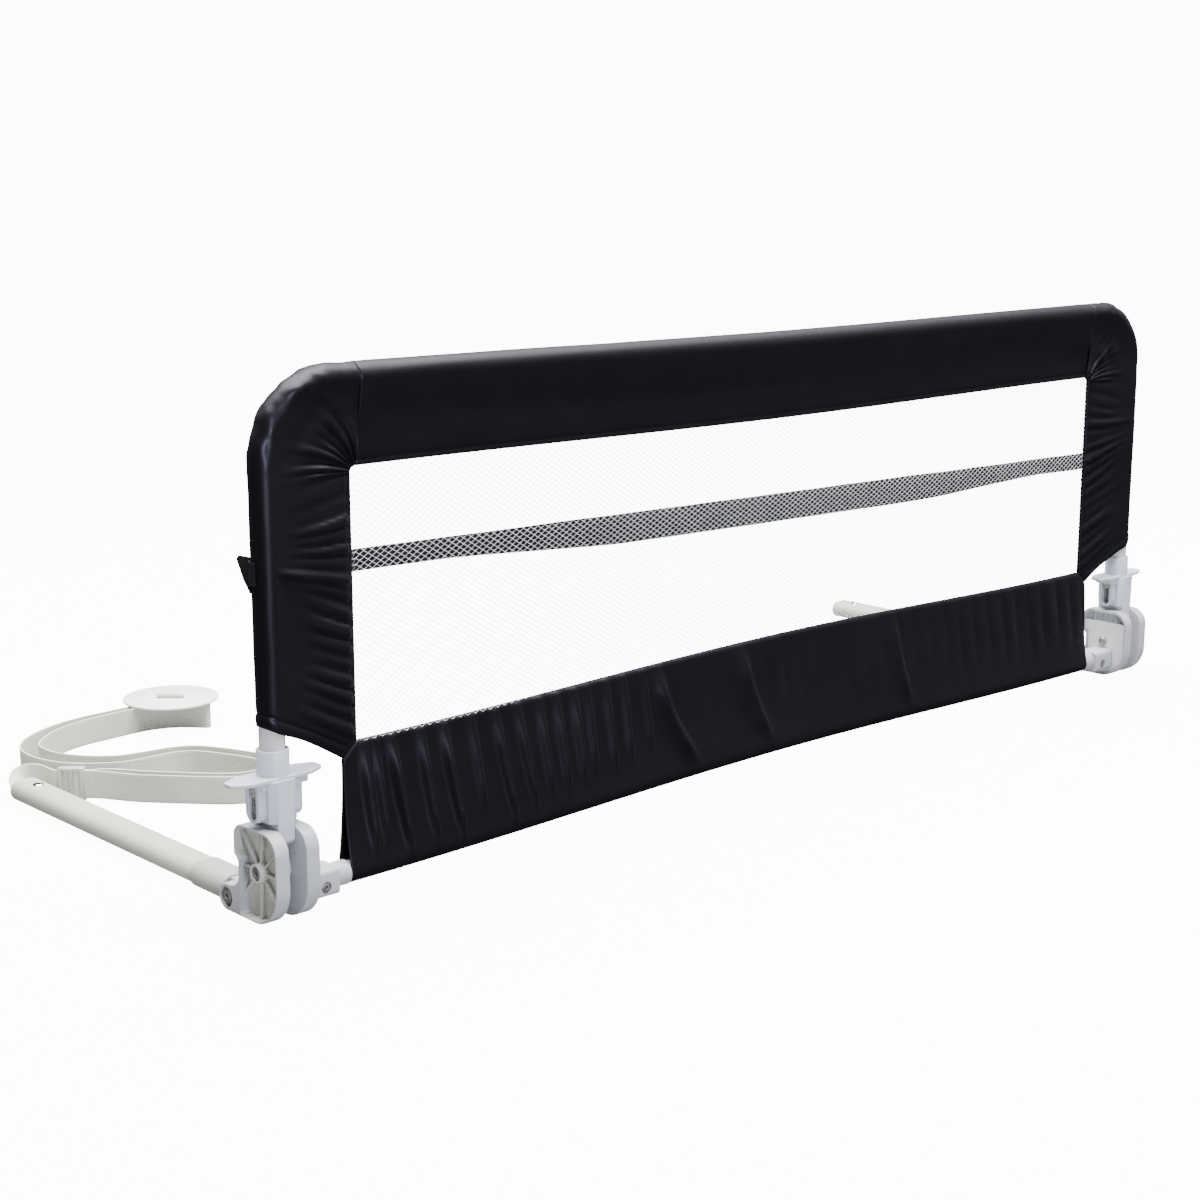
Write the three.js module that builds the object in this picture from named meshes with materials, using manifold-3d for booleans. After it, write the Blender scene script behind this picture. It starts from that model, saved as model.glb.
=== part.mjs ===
// Folding bed guard rail: a bent tube frame in a fabric cover with a net window, on two folding
// hinges whose arms lie under the mattress, with a webbing strap and an anchor disc.
// Millimetres, +Z up, +X along the rail, +Y towards the bed.

import * as THREE from "three";
import { mergeVertices } from "three/addons/utils/BufferGeometryUtils.js";
import Module from "manifold-3d";

const wasm = await Module();
wasm.setup();

// Overall sizes
const railLength = 1100;
const railHeight = 399;
const armReach = 383;
const clearance = 0.3;
const overrun = 3;

// Frame tubes
const tubeRadius = 9.5;
const tubeWall = 1.2;
const bendRadius = 55;
const jointFromSeam = 26;
const spigotLength = 36;
const topSag = 2.4;
const tubeSides = 12;
const cornerSteps = 7;

// Fabric cover
const clothWall = 0.8;
const coverSlack = 0.5;
const seamGap = 0.3;
const seamWidth = 2;
const sideWidth = 84;
const topDepth = 75;
const windowHalf = railLength / 2 - sideWidth;
const windowTop = railHeight - topDepth;
const windowBottom = 120;
const windowCorner = 5;
const windowTopSag = 3.3;
const uprightHem = 140;
const skirtStep = 12.6;
const skirtHalf = windowHalf + skirtStep;
const skirtCorner = 108;
const hemBulge = 2;
const pucker = 1.6;
const puckerPitch = 33;

// Skirt and bottom bar
const barRadius = 8;
const barWall = 1.2;
const barHeight = 20.5;
const barBow = 7.5;
const barSeat = 9;
const skirtSplit = 66;
const splitGap = 2;
const gatherDepth = 2.6;
const gatherPitch = 74;
const hemColumns = 20;
const gatherColumns = 40;

// Net and reinforcing band
const netThickness = 1;
const netStrand = 3.2;
const netColumns = 18;
const netRows = 3;
const bandWidth = 25;
const bandThickness = 1;
const bandLeftHeight = 255;
const bandRightHeight = 238;
const bandSag = 4;
const tabReach = 16;
const tabThickness = 2.4;

// Hinge plates
const tongueThickness = 14.2;
const plateThickness = 11.6;
const plateTop = 71;
const plateFront = 28.3;
const plateRear = 26.5;
const plateTopRound = 16;
const plateFootRound = 30;
const plateRearRound = 10;
const plateWaist = 21.5;
const waistTop = 43;
const waistStep = 4;
const plateChamfer = 0.8;
const rimWall = 2.8;
const plateWeb = 3;
const ribWidth = 1.6;
const ribCount = 8;
const ribDrop = 2;
const pivotHeight = 37.5;
const pivotBoss = 7;
const coverThickness = 2;
const coverTop = 58;
const coverInset = 0.6;

// Fasteners
const boltRadius = 3;
const headRadius = 5;
const headHeight = 3;
const socketRadius = 2;
const socketDepth = 1.8;
const nutRadius = 4.6;
const nutHeight = 3;
const washerRadius = 7.6;
const washerThickness = 1.2;
const barScrewRadius = 2;
const barScrewHead = 4;
const barScrewHeight = 2.4;
const barScrewDrop = 3.5;

// Socket that holds the bottom bar
const barSocketWall = 1.2;
const barBlockHalfWidth = 12;
const barBlockLength = 28.5;
const barBlockFloor = 8.6;
const barBlockRound = 4;
const barScrewAlong = 16;

// Release sleeve
const sleeveRadius = 12;
const sleeveTop = 128;
const sleeveBottom = 59;
const sleeveShoulder = 75.6;
const lockReach = 15.5;
const earHalfWidth = 8.5;
const earReach = 19;
const slotHalfWidth = 3.5;
const slotFloor = 79;
const slotTop = 101.6;
const wingSpan = 39;
const wingHalfWidth = 12;
const wingTipHalfWidth = 6;
const wingStraight = 24;
const wingUnder = 106;
const wingThickness = 3;
const wingStepDrop = 5;
const wingStepReach = 23.6;
const wingStepHalfWidth = 10.4;
const pinHeight = 98;
const pinRadius = 2;
const pinHead = 3.1;
const pinHeadHeight = 2;
const springRadius = 2.4;
const springWire = 0.45;
const springCurls = 4;

// Tongue at the foot of each upright
const tongueTop = 79;
const tongueEye = 9.2;
const plugLength = 32;

// Support arms
const armHalfWidth = 14;
const armHalfHeight = 9;
const armWall = 1.2;
const armSocketWall = 1;
const armSocketLength = 45;
const armSocketDepth = 32;
const armPivotShift = 38.5;
const armEye = 8.6;
const armNeck = 12.5;
const buttonRadius = 4.75;
const buttonHeight = 1.2;
const buttonShank = 1.5;
const buttonFromEnd = 24;

// Strap, its slider and the anchor disc
const webWidth = 25;
const webThickness = 1.5;
const strapReach = 245;
const strapSpread = 10;
const strapFold = 3;
const sliderLength = 22.5;
const sliderWall = 2.2;
const sliderSkin = 1.2;
const sliderRoom = 2.4;
const sliderBar = 3.5;
const discRadius = 46;
const discThickness = 2.4;
const discRound = 0.8;
const slotLength = 28;
const slotWidth = 7.4;
const bightRise = 4.4;
const bightGap = 1.4;
const slotShift = 3.6;

// Places worked out from the sizes above
const ringRadius = tubeRadius + coverSlack + clothWall;
const uprightX = railLength / 2 - ringRadius;
const topAxis = railHeight - ringRadius;
const seamX = windowHalf - windowCorner;
const edgeHalf = clothWall + seamGap;
const gapHalf = tongueThickness / 2 + clearance;
const plateOuter = gapHalf + plateThickness;
const armSocketHalf = armHalfHeight + clearance + armSocketWall;
const armPivotHeight = armSocketHalf;
const strapHigh = webWidth / 2 + sliderWall + clearance;

// Finishes
const finish = (color, roughness, metalness = 0) =>
  new THREE.MeshStandardMaterial({ color, roughness, metalness });
const finishes = {
  cloth: finish(0x22222a, 0.8),
  net: finish(0xf2f3f5, 0.75),
  band: finish(0x2a2836, 0.85),
  coolPlastic: finish(0xcfd2dc, 0.45),
  coverPlastic: finish(0xd2d3d3, 0.5),
  warmPlastic: finish(0xe6e6df, 0.4),
  paintedTube: finish(0xe9e9e3, 0.35, 0.1),
  steel: finish(0x9a9a96, 0.35, 1),
  webbing: finish(0xe4e4d8, 0.9),
  sliderPlastic: finish(0xa9a9a4, 0.5),
  discPlastic: finish(0xf0f0ee, 0.35),
};

// Solids: a closed geometry becomes a solid for joining and cutting, and a geometry again

function solidOf(geometry) {
  const flat = geometry.index ? geometry.toNonIndexed() : geometry;
  const bare = new THREE.BufferGeometry();
  bare.setAttribute("position", flat.getAttribute("position"));
  const merged = mergeVertices(bare, 1e-4);
  const triVerts = new Uint32Array(merged.index.array);
  const vertProperties = merged.attributes.position.array;
  return new wasm.Manifold(new wasm.Mesh({ numProp: 3, vertProperties, triVerts }));
}

function geometryOf(solid) {
  const mesh = solid.getMesh();
  const geometry = new THREE.BufferGeometry();
  const step = mesh.numProp;
  const positions = new Float32Array(mesh.numVert * 3);
  for (let i = 0; i < mesh.numVert; i++) {
    positions.set(mesh.vertProperties.subarray(i * step, i * step + 3), i * 3);
  }
  geometry.setAttribute("position", new THREE.BufferAttribute(positions, 3));
  geometry.setIndex(new THREE.BufferAttribute(mesh.triVerts, 1));
  return geometry;
}

const joined = (...solids) => solids.reduce((a, b) => a.add(b));
const without = (solid, ...tools) => tools.reduce((a, b) => a.subtract(b), solid);

// Basic bodies

const swapToX = new THREE.Matrix4().makeBasis(
  new THREE.Vector3(0, 1, 0),
  new THREE.Vector3(0, 0, 1),
  new THREE.Vector3(1, 0, 0),
);
const swapToFront = new THREE.Matrix4().makeBasis(
  new THREE.Vector3(1, 0, 0),
  new THREE.Vector3(0, 0, 1),
  new THREE.Vector3(0, -1, 0),
);

// An outline drawn flat, given a depth from low to high along its own third axis.
function extruded(shape, low, high, bevel = 0, curveSegments = 4) {
  const settings = { depth: high - low - 2 * bevel, bevelEnabled: bevel > 0, curveSegments };
  Object.assign(settings, { bevelSize: bevel, bevelThickness: bevel, bevelOffset: -bevel });
  settings.bevelSegments = 1;
  return new THREE.ExtrudeGeometry(shape, settings).translate(0, 0, low + bevel);
}

const alongX = (shape, low, high, bevel) =>
  solidOf(extruded(shape, low, high, bevel).applyMatrix4(swapToX));
const alongZ = (shape, low, high, bevel) => solidOf(extruded(shape, low, high, bevel));

function rodAlongX(radius, low, high, y, z, sides = 10) {
  const rod = new THREE.CylinderGeometry(radius, radius, high - low, sides);
  return solidOf(rod.rotateZ(-Math.PI / 2).translate((low + high) / 2, y, z));
}

function rodAlongY(radius, low, high, x, z, sides = 12) {
  const rod = new THREE.CylinderGeometry(radius, radius, high - low, sides);
  return solidOf(rod.translate(x, (low + high) / 2, z));
}

function rodAlongZ(radius, low, high, sides = 14) {
  const rod = new THREE.CylinderGeometry(radius, radius, high - low, sides);
  return solidOf(rod.rotateX(Math.PI / 2).translate(0, 0, (low + high) / 2));
}

function block(xs, ys, zs) {
  const box = new THREE.BoxGeometry(xs[1] - xs[0], ys[1] - ys[0], zs[1] - zs[0]);
  return solidOf(box.translate((xs[0] + xs[1]) / 2, (ys[0] + ys[1]) / 2, (zs[0] + zs[1]) / 2));
}

function roundedRectangle(halfWidth, halfHeight, round, x = 0, y = 0) {
  const shape = new THREE.Shape();
  const right = x + halfWidth;
  const left = x - halfWidth;
  const top = y + halfHeight;
  const low = y - halfHeight;
  shape.moveTo(left + round, low);
  shape.lineTo(right - round, low);
  shape.absarc(right - round, low + round, round, -Math.PI / 2, 0);
  shape.lineTo(right, top - round);
  shape.absarc(right - round, top - round, round, 0, Math.PI / 2);
  shape.lineTo(left + round, top);
  shape.absarc(left + round, top - round, round, Math.PI / 2, Math.PI);
  shape.lineTo(left, low + round);
  shape.absarc(left + round, low + round, round, Math.PI, Math.PI * 1.5);
  return shape;
}

// Bodies through rings of points, each ring going the same way round

function facesOf(points, quads, triangles = []) {
  const positions = [];
  const put = (i) => positions.push(points[i].x, points[i].y, points[i].z);
  for (const [a, b, c, d] of quads) {
    [a, b, c, a, c, d].forEach(put);
  }
  triangles.flat().forEach(put);
  const geometry = new THREE.BufferGeometry();
  geometry.setAttribute("position", new THREE.Float32BufferAttribute(positions, 3));
  return geometry;
}

// A solid bar through rings, its two ends closed by fans round their middles.
function barThrough(rings) {
  const count = rings[0].length;
  const points = rings.flat();
  const quads = [];
  const triangles = [];
  for (let i = 0; i + 1 < rings.length; i++) {
    for (let j = 0; j < count; j++) {
      const next = (j + 1) % count;
      const here = i * count;
      quads.push([here + j, here + next, here + count + next, here + count + j]);
    }
  }
  const last = (rings.length - 1) * count;
  const middles = [rings[0], rings[rings.length - 1]].map((ring) =>
    ring.reduce((sum, p) => sum.add(p), new THREE.Vector3()).divideScalar(count),
  );
  points.push(...middles);
  const [firstMiddle, lastMiddle] = [points.length - 2, points.length - 1];
  for (let j = 0; j < count; j++) {
    const next = (j + 1) % count;
    triangles.push([next, j, firstMiddle], [last + j, last + next, lastMiddle]);
  }
  return facesOf(points, quads, triangles);
}

// A sleeve between outer and inner rings, open at both ends.
function sleeveThrough(outer, inner) {
  const count = outer[0].length;
  const rows = outer.length;
  const points = [...outer.flat(), ...inner.flat()];
  const base = rows * count;
  const quads = [];
  for (let i = 0; i + 1 < rows; i++) {
    for (let j = 0; j < count; j++) {
      const next = (j + 1) % count;
      const here = i * count;
      const above = here + count;
      quads.push([here + j, here + next, above + next, above + j]);
      quads.push([base + here + next, base + here + j, base + above + j, base + above + next]);
    }
  }
  const last = (rows - 1) * count;
  for (let j = 0; j < count; j++) {
    const next = (j + 1) % count;
    quads.push([next, j, base + j, base + next]);
    quads.push([last + j, last + next, base + last + next, base + last + j]);
  }
  return facesOf(points, quads);
}

// Stations along a line of points, each a place and the way the line runs there.
function stationsOn(points) {
  return points.map((at, i) => {
    const before = points[Math.max(0, i - 1)];
    const after = points[Math.min(points.length - 1, i + 1)];
    return { at, along: new THREE.Vector3().subVectors(after, before).normalize() };
  });
}

function tubeThrough(stations, outerRadius, innerRadius) {
  const side = new THREE.Vector3(0, 1, 0);
  const ringAt = ({ at, along }, radius) => {
    const across = new THREE.Vector3().crossVectors(side, along).normalize();
    return Array.from({ length: tubeSides }, (_, k) => {
      const turn = (2 * Math.PI * k) / tubeSides;
      return at
        .clone()
        .addScaledVector(across, radius * Math.cos(turn))
        .addScaledVector(side, radius * Math.sin(turn));
    });
  };
  return sleeveThrough(
    stations.map((s) => ringAt(s, outerRadius)),
    stations.map((s) => ringAt(s, innerRadius)),
  );
}

// Curves that several pieces follow

const settle = (x, half) => (Math.abs(x) < half ? Math.cos((Math.PI * x) / (2 * half)) ** 2 : 0);
const topAxisAt = (x) => topAxis - topSag * settle(x, windowHalf);
const windowTopAt = (x) => windowTop - windowTopSag * settle(x, windowHalf);
const barAt = (x) => barHeight + barBow * settle(x, skirtHalf);
const windowBottomAt = (x) => windowBottom + barBow * settle(x, windowHalf);
const mix = (a, b, share) => a + (b - a) * share;
const evenly = (count, low, high) =>
  Array.from({ length: count + 1 }, (_, i) => mix(low, high, i / count));

// Frame tubes

function cornerTube(side) {
  const points = [new THREE.Vector3(side * uprightX, 0, tongueTop + clearance)];
  points.push(new THREE.Vector3(side * uprightX, 0, windowTop - windowCorner));
  for (let i = 1; i <= cornerSteps; i++) {
    points.push(cornerPoint(side, i / cornerSteps));
  }
  points.push(new THREE.Vector3(side * (seamX - jointFromSeam), 0, topAxis));
  const stations = stationsOn(points);
  const tube = solidOf(tubeThrough(stations, tubeRadius, tubeRadius - tubeWall));
  const pinHole = rodAlongX(
    pinRadius + clearance,
    side * uprightX - tubeRadius - overrun,
    side * uprightX + tubeRadius + overrun,
    0,
    pinHeight,
  );
  return without(joined(tube, spigot(side)), pinHole);
}

// The tube's centre from the straight upright, round the bend, to the seam on top.
function cornerPoint(side, share) {
  const centreX = uprightX - bendRadius;
  const centreZ = topAxis - bendRadius;
  const straightTop = windowTop - windowCorner;
  const rise = centreZ - straightTop;
  const arc = (Math.PI / 2) * bendRadius;
  const level = centreX - seamX - clearance;
  const run = share * (rise + arc + level);
  if (run < rise) return new THREE.Vector3(side * uprightX, 0, straightTop + run);
  if (run > rise + arc) return new THREE.Vector3(side * (centreX + rise + arc - run), 0, topAxis);
  const turn = (run - rise) / bendRadius;
  const x = centreX + bendRadius * Math.cos(turn);
  return new THREE.Vector3(side * x, 0, centreZ + bendRadius * Math.sin(turn));
}

// The drawn-in end of a corner tube, which plugs into the top tube.
function spigot(side) {
  const radius = tubeRadius - tubeWall - clearance;
  const edge = seamX - jointFromSeam;
  const pointsFrom = (start, end) =>
    stationsOn([start, end].map((x) => new THREE.Vector3(side * x, 0, topAxis)));
  const sleeve = pointsFrom(edge + tubeWall, edge - spigotLength);
  const collar = pointsFrom(edge + tubeWall, edge);
  return joined(
    solidOf(tubeThrough(sleeve, radius, radius - tubeWall)),
    solidOf(tubeThrough(collar, tubeRadius - tubeWall / 2, radius - tubeWall / 2)),
  );
}

function topTube() {
  const end = seamX - jointFromSeam - clearance;
  const points = evenly(4, end, -end).map((x) => new THREE.Vector3(x, 0, topAxisAt(x)));
  return solidOf(tubeThrough(stationsOn(points), tubeRadius, tubeRadius - tubeWall));
}

function bottomBar() {
  const end = uprightX - plateOuter + barSeat - overrun;
  const places = [end, ...evenly(hemColumns / 2, skirtHalf, -skirtHalf), -end];
  const points = places.map((x) => new THREE.Vector3(x, 0, barAt(x)));
  const bar = solidOf(tubeThrough(stationsOn(points), barRadius, barRadius - barWall));
  const holes = [-1, 1].map((side) =>
    rodAlongY(
      barScrewRadius + clearance,
      -barRadius - overrun,
      0,
      side * (uprightX - plateOuter - barScrewAlong),
      barHeight - barScrewDrop,
      12,
    ),
  );
  return without(bar, ...holes);
}

// Fabric cover. Each station has the tube's centre and the edge where both layers are sewn.

const frontFolds = (run, share) => {
  const wave = Math.max(0, Math.sin((2 * Math.PI * run) / puckerPitch)) ** 2;
  return pucker * wave * Math.sin(Math.PI * (1 - share)) ** 2;
};

function coverRing({ tube, edge, run, lift, along }, wallInset) {
  const radius = ringRadius - wallInset;
  const inset = wallInset > 0 ? seamWidth : 0;
  const out = new THREE.Vector3().subVectors(tube, edge);
  const length = out.length();
  out.normalize();
  const reach = radius / new THREE.Vector3().crossVectors(out, along).length();
  const start = edge.clone().addScaledVector(out, inset);
  const ring = [];
  const flatSteps = 3;
  const arcSteps = 6;
  const onFlat = (share, y) => {
    const point = start.clone().lerp(tube, share);
    point.z += lift(mix(inset / length, 1, share));
    point.y = y;
    ring.push(point);
  };
  for (const share of evenly(flatSteps, 0, 1)) {
    const y = mix(edgeHalf - wallInset, radius, share);
    onFlat(share, -y - frontFolds(run, share) * (share > 0 ? 1 : 0));
  }
  for (const turn of evenly(arcSteps, -Math.PI / 2, Math.PI / 2).slice(1, -1)) {
    const point = tube.clone().addScaledVector(out, reach * Math.cos(turn));
    point.y = radius * Math.sin(turn);
    point.z += lift(1);
    ring.push(point);
  }
  for (const share of evenly(flatSteps, 1, 0)) {
    onFlat(share, mix(edgeHalf - wallInset, radius, share));
  }
  return ring;
}

function coverThrough(stations, flip) {
  const ways = stationsOn(stations.map(({ tube }) => tube));
  const placed = stations.map((station, i) => ({ ...station, along: ways[i].along }));
  const outer = placed.map((station) => coverRing(station, 0));
  const inner = placed.map((station) => coverRing(station, clothWall));
  const turned = (rings) => (flip ? rings.map((ring) => [...ring].reverse()) : rings);
  return solidOf(sleeveThrough(turned(outer), turned(inner)));
}

// A side panel runs from its hem up the upright and round the corner to the top seam.
function sidePanel(side) {
  const stations = [];
  const place = (tube, edge, run, lift = () => 0) =>
    stations.push({
      tube: new THREE.Vector3(side * tube[0], 0, tube[1]),
      edge: new THREE.Vector3(side * edge[0], 0, edge[1]),
      run,
      lift,
    });
  const straightTop = windowTop - windowCorner;
  place([uprightX, uprightHem], [skirtHalf, skirtCorner], 0, (share) =>
    hemBulge * Math.sin(Math.PI * share),
  );
  const climb = evenly(9, 0, 1).slice(1);
  for (const share of climb) {
    const low = windowBottom + clearance;
    const edgeZ = mix(low, straightTop, (share - climb[0]) / (1 - climb[0]));
    place([uprightX, mix(uprightHem, straightTop, share)], [windowHalf, edgeZ], edgeZ - low);
  }
  for (let i = 1; i <= cornerSteps; i++) {
    const turn = ((Math.PI / 2) * i) / cornerSteps;
    const edge = [
      seamX + windowCorner * Math.cos(turn),
      straightTop + windowCorner * Math.sin(turn),
    ];
    const tube = cornerPoint(1, i / cornerSteps);
    place([tube.x, tube.z], edge, 0);
  }
  return coverThrough(stations, side < 0);
}

function topPanel() {
  const end = seamX - clearance;
  const stations = evenly(8, end, -end).map((x) => ({
    tube: new THREE.Vector3(x, 0, topAxisAt(x)),
    edge: new THREE.Vector3(x, 0, windowTopAt(x)),
    run: 0,
    lift: () => 0,
  }));
  return coverThrough(stations, false);
}

// Skirt: gathers hang from the window's lower seam and die out at the bottom bar

function gather(x, z) {
  const drop = Math.max(0, windowBottomAt(x) - z) / (windowBottom - barHeight);
  const wave = Math.sin((2 * Math.PI * x) / gatherPitch + Math.sin(x / gatherPitch));
  return gatherDepth * wave * Math.sin(Math.PI * Math.min(1, drop)) ** 2;
}

function skirtTopAt(x) {
  const past = Math.abs(x) - windowHalf;
  if (past <= 0) return windowBottomAt(x) - clearance;
  const share = past / (skirtHalf - windowHalf);
  return mix(windowBottom, skirtCorner, share) - clearance;
}

const skirtColumns = () => {
  const inside = evenly(gatherColumns, -windowHalf, windowHalf);
  return [-skirtHalf, ...inside, skirtHalf];
};

function upperSkirt() {
  const low = skirtSplit + splitGap / 2;
  const rings = skirtColumns().map((x) => {
    const heights = evenly(4, low, skirtTopAt(x));
    const front = heights.map((z) => new THREE.Vector3(x, gather(x, z) - edgeHalf, z));
    const back = heights.map((z) => new THREE.Vector3(x, gather(x, z) + edgeHalf, z));
    return [...front, ...back.reverse()];
  });
  return solidOf(stripThrough(rings));
}

// A flat strip through rings of front points and the back points behind them, in turn.
function stripThrough(rings) {
  const count = rings[0].length;
  const half = count / 2;
  const points = rings.flat();
  const quads = [];
  for (let i = 0; i + 1 < rings.length; i++) {
    for (let j = 0; j < count; j++) {
      const next = (j + 1) % count;
      const here = i * count;
      quads.push([here + next, here + j, here + count + j, here + count + next]);
    }
  }
  const last = (rings.length - 1) * count;
  for (let j = 0; j + 1 < half; j++) {
    const [a, b, c, d] = [j, j + 1, count - 2 - j, count - 1 - j];
    quads.push([a, b, c, d], [last + d, last + c, last + b, last + a]);
  }
  return facesOf(points, quads);
}

function hemRing(x, wallInset) {
  const top = skirtSplit - splitGap / 2 - (wallInset > 0 ? seamWidth : 0);
  const radius = barRadius + clearance + clothWall - wallInset;
  const half = edgeHalf - wallInset;
  const centre = barAt(x);
  const ring = [];
  const flank = (sign, shares) =>
    shares.forEach((share) => {
      const z = mix(top, centre, share);
      ring.push(new THREE.Vector3(x, sign * mix(half, radius, share) + gather(x, z), z));
    });
  flank(-1, [0, 1 / 2]);
  for (const turn of evenly(8, Math.PI, 2 * Math.PI)) {
    const y = radius * Math.cos(turn);
    ring.push(new THREE.Vector3(x, y, centre + radius * Math.sin(turn)));
  }
  flank(1, [1 / 2, 0]);
  return ring;
}

function skirtHem() {
  const columns = evenly(hemColumns, -skirtHalf, skirtHalf);
  return solidOf(
    sleeveThrough(
      columns.map((x) => hemRing(x, 0)),
      columns.map((x) => hemRing(x, clothWall)),
    ),
  );
}

// Net: a staggered lattice of gaps, drawn in shares of the window and fitted to its edges

function netWindow() {
  const half = windowHalf - clearance;
  const place = (u, w) => {
    const x = mix(-half, half, u);
    const low = windowBottomAt(x) + clearance;
    return new THREE.Vector2(x, mix(low, windowTopAt(x) - clearance, w));
  };
  const cellWidth = 1 / netColumns;
  const cellHeight = 1 / netRows;
  const tall = windowTop - windowBottom;
  const cut = windowCorner + clearance;
  const corner = [cut / (2 * half), cut / tall];
  const outline = [
    ...evenly(netColumns, 0, 1).map((u) => place(u, 0)),
    place(1, 1 - corner[1]),
    ...evenly(netColumns, 1 - corner[0], corner[0]).map((u) => place(u, 1)),
    place(0, 1 - corner[1]),
  ];
  const shape = new THREE.Shape(outline);
  const marginX = netStrand / (2 * half);
  const marginY = netStrand / tall;
  for (let row = 0; row < 2 * netRows - 1; row++) {
    const shift = row % 2;
    for (let column = 0; column < netColumns - shift; column++) {
      const u = (column + (1 + shift) / 2) * cellWidth;
      const w = ((row + 1) / 2) * cellHeight;
      const reachX = cellWidth / 2 - marginX;
      const reachY = cellHeight / 2 - marginY;
      const gap = [place(u - reachX, w), place(u, w - reachY)];
      gap.push(place(u + reachX, w), place(u, w + reachY));
      shape.holes.push(new THREE.Path(gap));
    }
  }
  const net = extruded(shape, -netThickness / 2, netThickness / 2);
  return solidOf(net.applyMatrix4(swapToFront));
}

// Reinforcing band behind the net, wrapped round both uprights

function bandHeightAt(x) {
  const share = (x + uprightX) / (2 * uprightX);
  return mix(bandLeftHeight, bandRightHeight, share) - 4 * bandSag * share * (1 - share);
}

function reinforcingBand() {
  const inner = ringRadius + clearance;
  const stations = [];
  const wrap = evenly(5, (-15 * Math.PI) / 180, Math.PI / 2).slice(0, -1);
  const wrapped = (turn, side) => ({
    at: new THREE.Vector2(side * (uprightX + inner * Math.cos(turn)), inner * Math.sin(turn)),
    out: new THREE.Vector2(side * Math.cos(turn), Math.sin(turn)),
  });
  const rearAt = (x) => {
    const past = Math.abs(x) - windowHalf;
    const share = Math.max(0, past) / (uprightX - windowHalf);
    return mix(edgeHalf + clearance, inner, share);
  };
  const flat = (x) => ({ at: new THREE.Vector2(x, rearAt(x)), out: new THREE.Vector2(0, 1) });
  wrap.forEach((turn) => stations.push(wrapped(turn, -1)));
  const along = [-uprightX, ...evenly(12, -windowHalf, windowHalf), uprightX];
  along.forEach((x) => stations.push(flat(x)));
  wrap.reverse().forEach((turn) => stations.push(wrapped(turn, 1)));
  const rings = stations.map(({ at, out }) => {
    const middle = bandHeightAt(at.x);
    const far = at.clone().addScaledVector(out, bandThickness);
    const [low, high] = [middle - bandWidth / 2, middle + bandWidth / 2];
    return [
      new THREE.Vector3(at.x, at.y, low),
      new THREE.Vector3(far.x, far.y, low),
      new THREE.Vector3(far.x, far.y, high),
      new THREE.Vector3(at.x, at.y, high),
    ];
  });
  return solidOf(barThrough(rings));
}

// The band's sewn tail at the left upright, which stands out to the rear.
function bandTab() {
  const outer = ringRadius + 2 * clearance + bandThickness;
  const sideShift = ringRadius / 2;
  const root = Math.sqrt(outer ** 2 - (sideShift - tabThickness / 2) ** 2);
  const middle = bandHeightAt(-uprightX - sideShift);
  const shape = new THREE.Shape();
  shape.moveTo(root, middle - bandWidth * 0.6);
  shape.lineTo(root + tabReach * 0.5, middle - bandWidth * 0.24);
  shape.lineTo(root + tabReach, middle + bandWidth * 0.32);
  shape.lineTo(root + tabReach * 0.85, middle + bandWidth * 0.42);
  shape.lineTo(root, middle + bandWidth * 0.44);
  const centre = -uprightX - sideShift;
  return alongX(shape, centre - tabThickness / 2, centre + tabThickness / 2);
}

// Hinge plates, in the frame of one side: +x points outwards from the upright's centre line

function plateOutline(inset) {
  const rear = plateRear - inset;
  const waist = plateWaist - inset;
  const bossRadius = armPivotHeight - inset;
  const bossTop = armPivotHeight + bossRadius;
  const shape = new THREE.Shape();
  const corner = (y, z, round, start, steps) => {
    for (const turn of evenly(steps, start, start + Math.PI / 2)) {
      const reach = round - inset;
      shape.lineTo(y + reach * Math.cos(turn), z + reach * Math.sin(turn));
    }
  };
  shape.moveTo(plateFootRound - plateFront, inset);
  shape.lineTo(armPivotShift, inset);
  shape.absarc(armPivotShift, armPivotHeight, bossRadius, -Math.PI / 2, Math.PI / 2);
  shape.quadraticCurveTo(waist, bossTop, waist, bossTop + armPivotHeight);
  shape.lineTo(waist, waistTop + inset);
  shape.lineTo(rear, waistTop + waistStep + inset);
  corner(plateRear - plateRearRound, plateTop - plateRearRound, plateRearRound, 0, 3);
  corner(plateTopRound - plateFront, plateTop - plateTopRound, plateTopRound, Math.PI / 2, 4);
  corner(plateFootRound - plateFront, plateFootRound, plateFootRound, Math.PI, 6);
  return shape;
}

function hingeRibs(low, high) {
  return Array.from({ length: ribCount }, (_, k) => {
    const rib = new THREE.BoxGeometry(high - low, ribWidth, plateTop);
    rib.translate((low + high) / 2, 0, plateTop / 2);
    rib.rotateX((2 * Math.PI * k) / ribCount);
    return solidOf(rib.translate(0, 0, pivotHeight));
  });
}

const pivotBore = () =>
  rodAlongX(boltRadius + clearance, -plateOuter - overrun, plateOuter + overrun, 0, pivotHeight);
const armBore = () =>
  rodAlongX(
    boltRadius + clearance,
    -plateOuter - overrun,
    plateOuter + overrun,
    armPivotShift,
    armPivotHeight,
  );

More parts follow.
